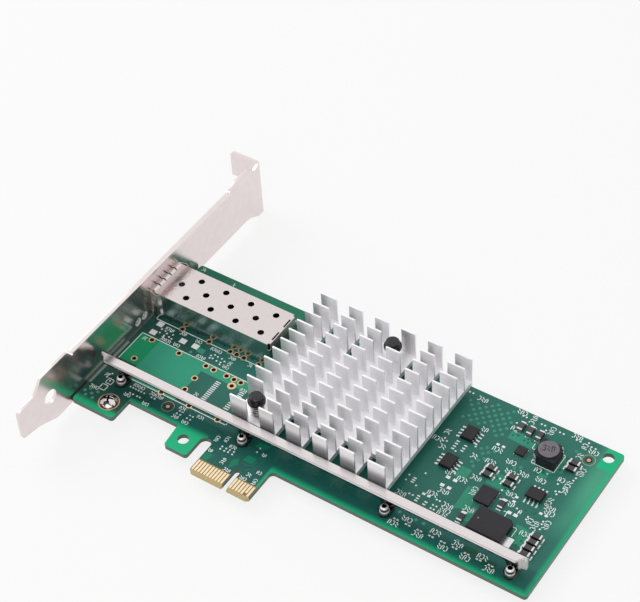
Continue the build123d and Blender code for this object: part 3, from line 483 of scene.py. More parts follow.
class Nodes(Tree):
    """One material's nodes round its main shader."""

    def __init__(self, name, metallic=0.0, roughness=0.5, specular=0.5):
        self.material = bpy.data.materials.new(name)
        super().__init__(self.material)
        self.shader = self.tree.nodes["Principled BSDF"]
        self.feed("Metallic", metallic)
        self.feed("Roughness", roughness)
        self.feed("Specular IOR Level", specular)
        self.where = self.add("ShaderNodeTexCoord").outputs["Object"]

    def feed(self, socket, start):
        self.join(start, self.shader.inputs[socket])

    def stretched(self, squeeze):
        """Object coordinates scaled along z, so that a pattern stretches upright."""
        mapping = self.add("ShaderNodeMapping")
        mapping.inputs["Scale"].default_value = (1.0, 1.0, squeeze)
        self.join(self.where, mapping.inputs["Vector"])
        return mapping.outputs["Vector"]

    def axes(self, vector):
        node = self.add("ShaderNodeSeparateXYZ")
        self.join(vector, node.inputs[0])
        return node.outputs

    def noise(self, vector, scale, detail=3.0):
        node = self.add("ShaderNodeTexNoise")
        self.join(scale, node.inputs["Scale"])
        self.join(detail, node.inputs["Detail"])
        self.join(vector, node.inputs["Vector"])
        return node.outputs["Fac"]

    def ramp(self, factor, stops):
        node = self.add("ShaderNodeValToRGB")
        elements = node.color_ramp.elements
        while len(elements) < len(stops):
            elements.new(0.5)
        for element, (place, colour) in zip(elements, stops):
            element.position = place
            element.color = (*colour, 1.0)
        self.join(factor, node.inputs["Fac"])
        return node.outputs["Color"]

    def tone(self, factor, colour, low, high):
        """A colour drifting between a darker and a lighter share of itself."""
        return self.ramp(factor, [(0.3, shade(colour, low)), (0.7, shade(colour, high))])

    def step(self, value, start, end):
        """0 before the start and 1 past the end, both in millimetres, with a smooth rise between."""
        node = self.add("ShaderNodeMapRange", interpolation_type="SMOOTHSTEP")
        node.inputs["From Min"].default_value = start * MM
        node.inputs["From Max"].default_value = end * MM
        self.join(value, node.inputs["Value"])
        return node.outputs["Result"]

    def zone(self, x, y, edges):
        """1 past two soft edges: a rise along x times a rise along y."""
        return self.math("MULTIPLY", self.step(x, *edges[0]), self.step(y, *edges[1]))

    def inside(self, x, y, corners):
        """1 inside a rectangle given by its low and high corner in millimetres."""
        low_x, low_y, high_x, high_y = corners
        low = ((low_x - EDGE_SOFT, low_x + EDGE_SOFT), (low_y - EDGE_SOFT, low_y + EDGE_SOFT))
        high = ((high_x + EDGE_SOFT, high_x - EDGE_SOFT), (high_y + EDGE_SOFT, high_y - EDGE_SOFT))
        return self.math("MULTIPLY", self.zone(x, y, low), self.zone(x, y, high))

    def tilt(self):
        """Size of the true normal's z: 1 on flat faces and 0 on upright ones."""
        rise = self.axes(self.add("ShaderNodeNewGeometry").outputs["True Normal"])[2]
        return self.math("ABSOLUTE", rise, 0.0)

    def upright(self):
        return self.math("LESS_THAN", self.tilt(), UPRIGHT_BELOW)

    def slanted(self):
        """1 on faces between flat and upright, such as a fold or a rounded edge."""
        tilt = self.tilt()
        low, high = SLANTED
        return self.math("MULTIPLY", self.math("GREATER_THAN", tilt, low), self.math("LESS_THAN", tilt, high))

    def blend(self, factor, first, second, **values):
        """The first colour where the factor is 0 and the second where it is 1."""
        node = self.add("ShaderNodeMix", data_type="RGBA", **values)
        self.join(factor, node.inputs[0])
        self.join(first, node.inputs[6])
        self.join(second, node.inputs[7])
        return node.outputs[2]

    def bump(self, height, strength, distance):
        node = self.add("ShaderNodeBump")
        self.join(strength, node.inputs["Strength"])
        self.join(distance, node.inputs["Distance"])
        self.join(height, node.inputs["Height"])
        self.feed("Normal", node.outputs["Normal"])

    def finish(self, grain, rough, depth, distance):
        """Roughness and bump from one grain, which ends the material."""
        self.feed("Roughness", self.span(grain, *rough))
        self.bump(grain, depth, distance)
        return self.material


def shade(colour, factor):
    return tuple(min(1.0, c * factor) for c in colour)


def board_material(board):
    """Satin mask: painted shade at the bracket, along the near edge and below the rail, painted light at the
    right edge, bright rim, bare tongue tip and cut sides.
    """
    n = Nodes("board_mask", specular=board.gloss)
    x, y, _ = n.axes(n.where)
    drift = n.noise(n.where, 26.0)
    # Painted shade near the bracket and below the rail, up to the plain mask of the open field
    field = n.blend(n.step(x, *BRACKET_SHADE), board.mask_deep, board.mask_strip)
    field = n.blend(n.zone(x, y, OPEN_FIELD), field, board.mask)
    field = n.blend(n.zone(x, y, BEHIND_CAGE), field, board.mask_top)
    pale = n.math("MAXIMUM", *(n.inside(x, y, area) for area in FOOTPRINT_PALE))
    field = n.blend(pale, field, board.patch_pale)
    field = n.blend(n.inside(x, y, FOOTPRINT_RICH), field, board.patch_rich)
    # Painted light in patches towards the right edge
    lit = n.math("MULTIPLY", n.zone(x, y, LIT_EDGE_ZONE), n.step(drift, *LIT_EDGE_DRIFT))
    field = n.blend(lit, field, board.mask_lit_edge)
    outer = n.math("MAXIMUM", n.step(x, *OUTER_RIM), n.inside(x, y, MIDDLE_RIM))
    rim = n.math(
        "MAXIMUM", n.math("MULTIPLY", n.step(y, *NEAR_RIM), outer, NEAR_RIM_SHARE),
        n.math("MULTIPLY", n.step(x, *RIGHT_RIM), RIGHT_RIM_SHARE),
        n.math("MULTIPLY", n.step(x, *HOOK_LEFT), n.zone(x, y, HOOK_TAB)),
        *(n.zone(x, y, edges) for edges in (SCREW_TAB, TONGUE_RIM, FAR_CORNER)),
    )
    field = n.blend(rim, field, board.mask_rim)
    field = n.blend(n.inside(x, y, BARE_TONGUE), field, board.laminate)
    field = n.blend(n.upright(), field, board.side)
    field = n.blend(n.inside(x, y, TONGUE_TIP), field, board.bevel)
    cloud = n.tone(drift, (1.0, 1.0, 1.0), 0.84, 1.0)
    n.feed("Base Color", n.blend(1.0, field, cloud, blend_type="MULTIPLY"))
    n.feed("Roughness", n.span(n.noise(n.where, 160.0, 4.0), *MASK_ROUGH))
    n.bump(n.noise(n.where, 1500.0, 1.0), 0.06, MOULD_GRAIN)
    return n.material


def metal_material(name, colour, rough_low, rough_high, scale=400.0, depth=0.1, metallic=1.0, sides=1.0):
    """Metal with a fine grain in colour, gloss and bump, with upright faces darkened by sides as painted
    shade.
    """
    n = Nodes(name, metallic)
    grain = n.noise(n.where, scale, 4.0)
    flat = n.tone(grain, colour, 0.97, 1.02)
    # Painted shade: upright faces take the colour times sides
    n.feed("Base Color", n.blend(n.upright(), flat, shade(colour, sides)) if sides != 1.0 else flat)
    return n.finish(grain, (rough_low, rough_high), depth, METAL_GRAIN)


def plastic_material(name, colour, rough_low, rough_high, scale=1800.0, depth=0.2, specular=0.5, sides=1.0):
    """Moulded plastic, ceramic, ink or mask with a fine grain, with upright faces darkened by sides as
    painted shade.
    """
    n = Nodes(name, specular=specular)
    grain = n.noise(n.where, scale, 2.0)
    broad = n.noise(n.where, 90.0, 2.0)
    flat = n.tone(broad, colour, 0.9, 1.08)
    # Painted shade: upright faces take the colour times sides
    n.feed("Base Color", n.blend(n.upright(), flat, shade(colour, sides)) if sides != 1.0 else flat)
    return n.finish(grain, (rough_low, rough_high), depth, MOULD_GRAIN)


def rail_material(colour):
    """Bright rail with pale upright faces along its top, a painted dark reflection on the rounded top edges,
    and a web and feet painted dark as the board mirrored in them.
    """
    n = Nodes("rail_nickel", 1.0)
    grain = n.noise(n.where, 400.0, 4.0)
    x, _, height = n.axes(n.where)
    tone = n.tone(grain, colour, 0.98, 1.01)
    # Painted reflection: the web below the top is painted dark grey, as the board mirrored in it
    web = n.math("MULTIPLY", n.step(height, *RAIL_WEB_TOP), n.step(x, *RAIL_END))
    tone = n.blend(web, tone, linear(120, 122, 121))
    # Painted reflection: a dark line on the rounded edges of the top
    tone = n.blend(n.math("MULTIPLY", n.slanted(), n.step(height, *RAIL_EDGE)), tone, linear(96, 92, 94))
    # Painted reflection: the feet are painted dark, as the board mirrored in them
    n.feed("Base Color", n.blend(n.step(height, *RAIL_FEET_TOP), tone, linear(92, 98, 97)))
    pale = n.math("MAXIMUM", n.step(height, *RAIL_WEB_TOP[::-1]), n.step(x, *RAIL_END[::-1]))
    n.feed("Metallic", n.span(n.math("MULTIPLY", n.upright(), pale), 1.0, 0.25))
    return n.finish(grain, (0.16, 0.22), 0.03, METAL_GRAIN)


def cage_material(colour):
    """Thin bright sheet with upright streaks, with a painted green reflection of the board on the near side
    and painted shade inside the box.
    """
    n = Nodes("cage_nickel", 1.0)
    x, y, height = n.axes(n.where)
    streaks = n.noise(n.stretched(0.02), 1500.0, 2.0)
    tone = n.tone(streaks, colour, 0.98, 1.01)
    # Painted reflection: the near upright walls take the board's green
    tone = n.blend(n.math("MULTIPLY", n.upright(), n.step(y, *CAGE_NEAR_SIDE)), tone, linear(158, 180, 178))
    # Painted shade inside the box, below its roof
    hollow = n.math("MULTIPLY", n.inside(x, y, CAGE_INSIDE), n.step(height, *CAGE_ROOF))
    n.feed("Base Color", n.blend(hollow, tone, linear(112, 108, 108)))
    n.feed("Roughness", n.math("ADD", n.span(streaks, 0.12, 0.18), n.span(n.upright(), 0.0, 0.1)))
    n.bump(streaks, 0.4, 0.0001)
    return n.material


def rail_screw_material():
    """Plated screw with a bright washer and top and a dark band of painted shade round the head between them.
    """
    n = Nodes("rail_screw", 0.3, 0.16)
    height = n.axes(n.where)[2]
    # Painted shade: a dark band round the head between the washer and the top
    band = n.zone(height, height, SCREW_BAND)
    n.feed("Base Color", n.blend(band, linear(232, 230, 230), linear(72, 74, 74)))
    n.bump(n.noise(n.where, 700.0, 2.0), 0.3, 0.00005)
    return n.material


def screw_material():
    """Bright plated dome with a dark cross of painted shade for its recess and painted broken dark
    reflections round it.
    """
    n = Nodes("screw", 1.0, 0.12)
    mapping = n.add("ShaderNodeMapping", vector_type="TEXTURE")
    mapping.inputs["Location"].default_value = (BRACKET_SCREW[0] * MM, BRACKET_SCREW[1] * MM, 0.0)
    mapping.inputs["Rotation"].default_value = (0.0, 0.0, np.radians(CROSS_ANGLE))
    n.join(n.where, mapping.inputs["Vector"])
    along, across, _ = n.axes(mapping.outputs["Vector"])
    long, wide = CROSS_ARM
    arms = ((-long, -wide, long, wide), (-wide, -long, wide, long))
    # Painted shade: the cross recess is painted dark on the dome
    cross = n.math("MAXIMUM", *(n.inside(along, across, arm) for arm in arms))
    # Painted reflection: broken dark patches on the bright dome
    broken = n.ramp(n.noise(n.where, 620.0, 1.0), [(0.54, linear(226, 220, 218)), (0.6, linear(70, 64, 66))])
    n.feed("Base Color", n.blend(cross, broken, linear(38, 34, 36)))
    n.bump(n.noise(n.where, 500.0, 2.0), 0.6, 0.0001)
    return n.material


def sink_material(colour):
    """Satin aluminium with an upright grain, upright faces a little darker as painted shade, and a soft dark
    band of painted board reflection across the nearest row of fins.
    """
    n = Nodes("sink", 0.74)
    _, y, height = n.axes(n.where)
    grain = n.noise(n.stretched(0.05), 500.0, 4.0)
    flat = n.tone(grain, colour, 0.97, 1.02)
    # Painted shade: upright faces a little darker than the flat ones
    toned = n.blend(n.upright(), flat, shade(colour, 0.97))
    # Painted reflection: a soft dark band where the nearest fins mirror the board
    band = n.math("MULTIPLY", n.step(y, *NEAR_FINS), n.zone(height, height, FIN_BAND), FIN_BAND_SHARE)
    band = n.math("MULTIPLY", n.upright(), band)
    n.feed("Base Color", n.blend(band, toned, linear(120, 122, 124)))
    return n.finish(grain, (0.36, 0.46), 0.1, METAL_GRAIN)


def ferrite_material():
    """Dark moulded body with a lighter top face; the dark of its sides is painted shade."""
    n = Nodes("ferrite", specular=0.3)
    height = n.axes(n.where)[2]
    grain = n.noise(n.where, 900.0, 3.0)
    top_tone = n.ramp(grain, [(0.3, linear(104, 99, 105)), (0.7, linear(122, 117, 123))])
    # Painted shade: the sides below the top face are near black
    n.feed("Base Color", n.blend(n.step(height, *FERRITE_TOP), linear(30, 30, 33), top_tone))
    return n.finish(grain, (0.4, 0.6), 0.15, MOULD_GRAIN)


def give(obj, material):
    obj.data.materials.clear()
    obj.data.materials.append(material)


def linked(name, data):
    """A new object in the open collection."""
    obj = bpy.data.objects.new(name, data)
    bpy.context.collection.objects.link(obj)
    return obj


def smooth_by_angle(obj, degrees):
    mesh = obj.data
    mesh.polygons.foreach_set("use_smooth", np.ones(len(mesh.polygons), bool))
    mesh.set_sharp_from_angle(angle=np.radians(degrees))


def rounded_copy(node, name, slot, width, angle=30.0, clamp=False):
    """A copy of a CAD node, its flat faces joined and its edges rounded; clamped where folds are tight."""
    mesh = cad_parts[node].data.copy()
    mesh.name = name
    work = bmesh.new()
    work.from_mesh(mesh)
    bmesh.ops.remove_doubles(work, verts=work.verts, dist=WELD)
    bmesh.ops.dissolve_limit(work, angle_limit=np.radians(FLAT_ANGLE), verts=work.verts, edges=work.edges)
    work.to_mesh(mesh)
    work.free()
    obj = linked(name, mesh)
    bevel = obj.modifiers.new("Rounded edges", "BEVEL")
    bevel.width = width
    bevel.segments = 2
    bevel.limit_method = "ANGLE"
    bevel.angle_limit = np.radians(angle)
    bevel.use_clamp_overlap = clamp
    bevel.harden_normals = True
    smooth_by_angle(obj, ROUND_ANGLE)
    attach(obj, BODY)
    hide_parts(node)


def new_piece(name, parts, material, smooth=None):
    """One mesh piece from parts, each an array of corners in millimetres and its faces."""
    verts = []
    faces = []
    for corners, part_faces in parts:
        start = sum(len(v) for v in verts)
        verts.append(np.asarray(corners, float) * MM)
        faces += [[index + start for index in face] for face in part_faces]
    mesh = bpy.data.meshes.new(name)
    mesh.from_pydata(np.concatenate(verts), [], faces)
    mesh.validate()
    mesh.update()
    obj = linked(name, mesh)
    if smooth:
        smooth_by_angle(obj, smooth)
    give(obj, material)
    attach(obj, BODY)
    return obj


def skin(loops, closed=False):
    """Bodies over stacked loops of corners.

    A quad joins each side of a loop to the same side of the next loop. The last loop joins the
    first if closed; otherwise a cap closes each end.
    """
    here = np.arange(loops[..., 0].size).reshape(loops.shape[:3])
    after = np.roll(here, -1, axis=2)
    quads = np.stack((here, after, np.roll(after, -1, axis=1), np.roll(here, -1, axis=1)), axis=3)
    faces = (quads if closed else quads[:, :-1]).reshape(-1, 4).tolist()
    if not closed:
        faces += [*here[:, 0, ::-1].tolist(), *here[:, -1].tolist()]
    return loops.reshape(-1, 3), faces


def lifted(loops, levels):
    """Stacked loops of x and y, with each loop's level as z."""
    heights = np.broadcast_to(np.reshape(levels, (-1, 1, 1)), (*loops.shape[:3], 1))
    return np.concatenate((loops, heights), axis=3)


def prisms(outlines, low, high):
    """Closed upright prisms: every outline, counterclockwise, at the low and the high level."""
    flat = np.asarray(outlines, float)
    return skin(lifted(np.stack((flat, flat), axis=1), (low, high)))


def areas(outlines, top):
    """Flat prisms of outlines that differ in their number of corners."""
    return [prisms([outline], 0, top) for outline in outlines]


def turned(points, degrees):
    """Points turned about the origin by the sine and cosine of each angle."""
    angle = np.radians(degrees)
    cos = np.cos(angle)
    sin = np.sin(angle)
    x = points[..., 0]
    y = points[..., 1]
    return np.stack((x * cos - y * sin, x * sin + y * cos), axis=-1)


def rectangles(centres, length, width, degrees=0.0):
    """Rectangle outlines round centres: half the length and width to both sides, then turned."""
    corner = np.array(((-0.5, -0.5), (0.5, -0.5), (0.5, 0.5), (-0.5, 0.5))) * (length, width)
    return np.asarray(centres, float)[:, None, :2] + turned(corner, degrees)[None]


def circles(centres, radius, sides=24):
    """Circle outlines round centres: cosine and sine of equal steps times the radius."""
    angle = np.arange(sides) * 2 * np.pi / sides
    ring = np.stack((np.cos(angle), np.sin(angle)), axis=1) * radius
    return np.asarray(centres, float)[:, None, :2] + ring[None]


def rings(centres, outer, inner, low, high, sides=24):
    """Closed flat rings: four circles, outer and inner at both levels, joined round."""
    wide = circles(centres, outer, sides)
    tight = circles(centres, inner, sides)
    loops = np.stack((wide, wide, tight, tight), axis=1)
    return skin(lifted(loops, (low, high, high, low)), closed=True)


def strokes(starts, ends, width):
    """Outlines of straight strokes: start and end moved out half the width, and to both sides."""
    starts = np.asarray(starts, float)
    ends = np.asarray(ends, float)
    along = ends - starts
    along = along / np.linalg.norm(along, axis=1, keepdims=True) * width / 2
    across = np.stack((-along[:, 1], along[:, 0]), axis=1)
    first = starts - along
    last = ends + along
    return np.stack((first - across, last - across, last + across, first + across), axis=1)


def line_strokes(lines, width):
    """Strokes between the neighbours of every open line."""
    starts = np.concatenate([line[:-1] for line in lines])
    ends = np.concatenate([line[1:] for line in lines])
    return strokes(starts, ends, width)


def mark_strokes(rows, height, degrees, width):
    """Strokes of rows of plain marks: stroke ends times the height, each mark moved on by a share of it."""
    outlines = []
    for row, (x, y, count) in enumerate(rows):
        for place in range(int(count)):
            shape = np.array(MARK_STROKES[(row + place) % len(MARK_STROKES)]) * height
            shape[..., 0] += (place - (count - 1) / 2) * MARK_PITCH * height
            shape = turned(shape, degrees) + (x, y)
            outlines.append(strokes(shape[:, 0], shape[:, 1], width))
    return np.concatenate(outlines)


def spring_wire(x, y):
    """Round wire along a helix: a circle of the wire's radius round each point of the helix, spanned
    by the outward and the upward direction, with both ends closed."""
    turn = np.linspace(0, 2 * np.pi * SPRING_TURNS, int(SPRING_STEPS * SPRING_TURNS) + 1)
    rise = SPRING_LOW + WIRE_RADIUS + (SPRING_HIGH - SPRING_LOW - 2 * WIRE_RADIUS) * turn / turn[-1]
    out = np.stack((np.cos(turn), np.sin(turn), np.zeros_like(turn)), axis=1)
    up = np.array((0, 0, 1.0))
    middle = np.array((x, y, 0.0)) + out * SPRING_RADIUS + rise[:, None] * up
    angle = np.arange(WIRE_SIDES) * 2 * np.pi / WIRE_SIDES
    ring = WIRE_RADIUS * np.stack((np.cos(angle), np.sin(angle)))[:, None, :, None]
    return skin((middle[:, None] + ring[0] * out[:, None] + ring[1] * up)[None])


def tin_material(metal):
    return metal_material("tin", metal.tin, 0.2, 0.34, scale=900.0)


class CARD_OT_cad_finish(bpy.types.Operator):
    """Give every CAD node that stays its procedural material"""

    bl_idname = "card.cad_finish"
    bl_label = "Finish the CAD nodes"

    def execute(self, context):
        board = context.scene.card_board
        metal = context.scene.card_metal
        # Painted shade: the sides of the packages and of the chip ends are painted darker than their tops
        black = plastic_material("package_mould", linear(41, 39, 44), 0.42, 0.6, specular=0.3, sides=0.3)
        ends = metal_material("chip_end", metal.tin, 0.25, 0.35, scale=900.0, metallic=0.7, sides=0.2)
        polish = metal.polish
        looks = (
            (board_material(board), "circuit_board"),
            (metal_material("gold", linear(238, 218, 182), 0.3, 0.42, scale=700.0), "edge_contacts"),
            (metal_material("bracket_nickel", metal.bracket, polish, polish + 0.04, depth=0.02), "bracket"),
            (screw_material(), "bracket_screw"),
            (cage_material(metal.cage), "sfp_cage"),
            (metal_material("collar", linear(212, 204, 200), 0.12, 0.2, depth=0.03), "cage_spring_collar"),
            (plastic_material("connector", linear(30, 30, 32), 0.4, 0.6), "sfp_host_connector"),
            (sink_material(metal.aluminium), "heatsink"),
            # Painted shade: the sides of the pins are painted darker
            (plastic_material("pin", linear(30, 30, 34), 0.2, 0.32, depth=0.05, sides=0.3), "push_pins"),
            (metal_material("spring", linear(176, 172, 170), 0.25, 0.4), "push_pin_springs"),
            (plastic_material("pad", linear(150, 152, 158), 0.7, 0.9), "thermal_pad"),
            (rail_material(metal.rail), "stiffener_rail"),
            (rail_screw_material(), "rail_screws"),
            (black, "controller_package", "soic_bodies", "leadless_packages", "power_package"),
            (tin_material(metal), "soic_leads", "leadless_pads", "power_package_tab", "inductor_terminals"),
            (ferrite_material(), "inductor_core"),
            # Painted shade: the sides of the capacitors are painted darker
            (plastic_material("cap", linear(72, 66, 67), 0.3, 0.45, sides=0.2), "capacitor_bodies"),
            (plastic_material("res", linear(50, 48, 50), 0.3, 0.5), "resistor_bodies"),
            (ends, "capacitor_terminals", "resistor_terminals"),
        )
        for look, *nodes in looks:
            for node in nodes:
                give(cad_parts[node], look)
        return {"FINISHED"}


class CARD_OT_sheet_parts(bpy.types.Operator):
    """Add the folded sheet parts and the heat sink with rounded edges"""

    bl_idname = "card.sheet_parts"
    bl_label = "Round the sheet parts"

    def execute(self, context):
        width = context.scene.card_metal.edge_round
        rounded_copy("bracket", "bracket_sheet", "bracket_nickel", width, clamp=True)
        rounded_copy("stiffener_rail", "rail_sheet", "rail_nickel", width, clamp=True)
        rounded_copy("sfp_cage", "cage_sheet", "cage_nickel", width * FINE_ROUND)
        rounded_copy("heatsink", "heatsink_fins", "sink_aluminium", width * FINE_ROUND)
        return {"FINISHED"}


class CARD_OT_fasteners(bpy.types.Operator):
    """Add the screws and pins with rounded edges and the springs as round wire"""

    bl_idname = "card.fasteners"
    bl_label = "Finish the fasteners"

    def execute(self, context):
        width = context.scene.card_metal.edge_round * FINE_ROUND
        for names in TURNED_PARTS:
            rounded_copy(*names, width, TURNED_ANGLE)
        wires = [spring_wire(x, y) for x, y in PIN_PLACES]
        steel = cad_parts["push_pin_springs"].data.materials[0]
        springs = new_piece("push_pin_wires", wires, steel, WIRE_ANGLE)
        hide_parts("push_pin_springs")
        return {"FINISHED"}


class CARD_OT_small_parts(bpy.types.Operator):
    """Add the packages, the inductor and the chip parts with rounded edges"""

    bl_idname = "card.small_parts"
    bl_label = "Round the small parts"

    def execute(self, context):
        width = context.scene.card_metal.edge_round * FINE_ROUND
        for names in SMALL_PARTS:
            rounded_copy(*names, width)
        return {"FINISHED"}


class CARD_OT_mask_relief(bpy.types.Operator):
    """Add the copper areas, traces and covered vias that show through the mask"""

    bl_idname = "card.mask_relief"
    bl_label = "Show the copper under the mask"

    def execute(self, context):
        relief = context.scene.card_relief
        patch = relief.patch / MM
        trace = relief.trace / MM
        spots = prisms(circles(DARK_VIAS, DARK_VIA_RADIUS, 12), 0, trace + SPOT_RISE)
        lines = line_strokes(TRACES, TRACE_WIDTH)
        vias = circles(PALE_VIAS, PALE_VIA_RADIUS)
        tones = (
            ("mask_pale_areas", "mask_pale", (52, 144, 116), areas(PALE_PATCHES, patch)),
            ("mask_rich_areas", "mask_rich", (22, 126, 94), areas(RICH_PATCHES, patch)),
            ("mask_dark_areas", "mask_deep", (18, 84, 60), [*areas(DARK_PATCHES, patch), spots]),
            ("mask_traces", "mask_trace", (46, 112, 92), [prisms(lines, 0, trace)]),
            ("mask_vias", "mask_via", (64, 146, 122), [prisms(vias, 0, trace)]),
        )
        gloss = context.scene.card_board.gloss
        for name, look, colour, parts in tones:
            mask = plastic_material(look, linear(*colour), *MASK_ROUGH, depth=0.05, specular=gloss)
            new_piece(name, parts, mask)
        return {"FINISHED"}


class CARD_OT_plating(bpy.types.Operator):
    """Add the bare pads, plated rings, hole linings and target marks"""

    bl_idname = "card.plating"
    bl_label = "Plate pads and rings"

    def execute(self, context):
        top = context.scene.card_relief.ring / MM
        copper = metal_material("copper_ring", context.scene.card_board.copper, 0.4, 0.5, scale=900.0)
        holes = RINGED_HOLES
        plated = [
            rings(holes, *HOLE_RING, 0, top), rings(holes[BIG_HOLE], *BIG_RING, 0, top),
            rings([BRACKET_SCREW], *SCREW_RING, 0, top, 48), rings(FIDUCIALS, *TARGET_RING, 0, top, 32),
        ]
        new_piece("plated_rings", plated, copper)
        brown = plastic_material("hole_lining", linear(52, 26, 18), 0.35, 0.5, specular=0.2)
        linings = [
            rings(holes, *HOLE_LINING, LINING_LOW, top), rings(holes, *HOLE_LIP, 0, top),
            rings(FIDUCIALS, *TARGET_GAP, 0, top),
        ]
        new_piece("hole_linings", linings, brown)
        # Painted shadow: a brown ring next to the screw head
        shadow_ring = plastic_material("screw_shadow_ring", linear(138, 82, 50), 0.35, 0.5)
        new_piece("screw_shadow_ring", [rings([BRACKET_SCREW], *SCREW_SHADOW_RING, 0, top, 48)], shadow_ring)
        pink = plastic_material("target_copper", linear(226, 164, 144), 0.35, 0.5)
        new_piece("target_marks", [prisms(circles(FIDUCIALS, TARGET_GAP[1]), 0, top)], pink)
        pads = [prisms(rectangles(*group), 0, top) for group in PAD_GROUPS]
        pads.append(prisms(circles(SMALL_PADS, SMALL_PAD_RADIUS, 12), 0, top))
        for x, low, high, count in COMBS:
            comb = np.stack((np.full(count, x), np.linspace(low, high, count)), axis=1)
            pads.append(prisms(rectangles(comb, *COMB_PAD), 0, top))
        left, right, y, count = PAD_ROW
        row = np.stack((np.linspace(left, right, count), np.full(count, y)), axis=1)
        for shift in (0, PAD_ROW_SHIFT):
            pads.append(prisms(rectangles(row + (shift, 0), *ROW_PAD), 0, top))
        bare = shade(context.scene.card_metal.tin, 1.1)
        tin = metal_material("bare_tin", bare, 0.35, 0.5, scale=900.0, metallic=0.3)
        new_piece("bare_pads", pads, tin)
        return {"FINISHED"}


class CARD_OT_details(bpy.types.Operator):
    """Add the light pipe ends, dark strips of painted shade over the gaps of the spring collar and the marks
    on two small parts
    """

    bl_idname = "card.details"
    bl_label = "Add small details"

    def execute(self, context):
        face = PLATE_FACE
        core = plastic_material("light_pipe", linear(226, 232, 228), 0.2, 0.3)
        ends = [
            prisms(circles(LIGHT_PIPES, PIPE_RIM[1]), face, face + PIPE_DEPTH),
            rings(LIGHT_PIPES, *PIPE_OVAL, face, face + PIPE_DEPTH),
        ]
        new_piece("light_pipe_ends", [(v[:, TO_PLATE], f) for v, f in ends], core)
        verts, faces = rings(LIGHT_PIPES, *PIPE_RIM, face, face + PIPE_DEPTH - PIPE_STEP)
        rim = plastic_material("pipe_rim", linear(70, 88, 80), 0.4, 0.5)
        new_piece("light_pipe_rims", [(verts[:, TO_PLATE], faces)], rim)
        # Painted shade: thin dark strips lie across the collar where its fingers part
        dark = plastic_material("slit_shade", linear(30, 28, 28), 0.5, 0.7, specular=0.2)
        slope = np.array(COLLAR_SLOPE)
        profile = np.concatenate((slope, slope[::-1] - (0, SLIT_DEPTH)))
        slit_shades = []
        for middle in np.linspace(*COLLAR_SIDES, 6)[1:-1]:
            verts, faces = prisms([profile], middle - SLIT_HALF, middle + SLIT_HALF)
            slit_shades.append((verts[:, TO_SIDE], [face[::-1] for face in faces]))
        new_piece("collar_slit_shades", slit_shades, dark)
        code = mark_strokes([(*INDUCTOR_MARKS, 3)], *INDUCTOR_PRINT)
        code = prisms(code, INDUCTOR_TOP, INDUCTOR_TOP + PRINT_THICK)
        deep = plastic_material("mark_dark", linear(44, 42, 46), 0.5, 0.6)
        new_piece("inductor_marks", [code], deep)
        dot = prisms(circles([POWER_DOT], DOT_RADIUS, 16), POWER_TOP, POWER_TOP + PRINT_THICK)
        pale = plastic_material("dot", linear(120, 118, 122), 0.5, 0.6)
        new_piece("package_dot", [dot], pale)
        return {"FINISHED"}


class CARD_OT_solder(bpy.types.Operator):
    """Add the solder pads at the ends of chips and leads"""

    bl_idname = "card.solder"
    bl_label = "Solder the small parts"

    def execute(self, context):
        top = context.scene.card_relief.ring / MM
        tin = tin_material(context.scene.card_metal)
        parts = []
        chips = np.array(CHIP_PLACES)
        for side in (0, 180):
            turn = np.radians(chips[:, 2] + side)
            ends = chips[:, :2] + np.stack((np.cos(turn), np.sin(turn)), axis=1) * CHIP_JOINT
            for angle in (0, 90):
                chosen = chips[:, 2] == angle
                parts.append(prisms(rectangles(ends[chosen], *JOINT_PAD, angle), 0, top))
        lead = (np.arange(4) - 1.5) * LEAD_PITCH
        for x, y, angle in SOIC_PLACES:
            for side in (-LEAD_ROW, LEAD_ROW):
                feet = turned(np.stack((np.full(4, side), lead), axis=1), angle) + (x, y)
                parts.append(prisms(rectangles(feet, *LEAD_PAD, angle), 0, top))
        new_piece("solder_joints", parts, tin)
        return {"FINISHED"}


class CARD_OT_ink(bpy.types.Operator):
    """Add the printed lines and plain marks, and a grey strip along the board's left edge"""

    bl_idname = "card.ink"
    bl_label = "Print the marks"

    def execute(self, context):
        relief = context.scene.card_relief
        board = context.scene.card_board
        white = plastic_material("ink_white", board.ink, 0.4, 0.6, specular=0.3)
        grey = plastic_material("ink_grey", linear(120, 150, 138), 0.4, 0.6, specular=0.3)
        top = relief.ink / MM
        line = relief.line / MM
        large = relief.mark / MM
        small = relief.small_mark / MM
        fine = line * FINE_LINE
        rows = (
            (MARKS_ACROSS, large, 0, line), (MARKS_UP, large, 90, line), (SMALL_MARKS_ACROSS, small, 0, fine),
            (SMALL_MARKS_UP, small, 90, fine), (TOP_MARKS, small, 0, line),
        )
        parts = [prisms(line_strokes(INK_LINES, line), 0, top)]
        parts += [prisms(mark_strokes(*row), 0, top) for row in rows]
        new_piece("printed_marks", parts, white)
        lines = (line_strokes(GREY_LINES, line), rectangles(*EDGE_STRIP))
        new_piece("grey_lines_and_edge_strip", [prisms(shape, 0, top) for shape in lines], grey)
        return {"FINISHED"}


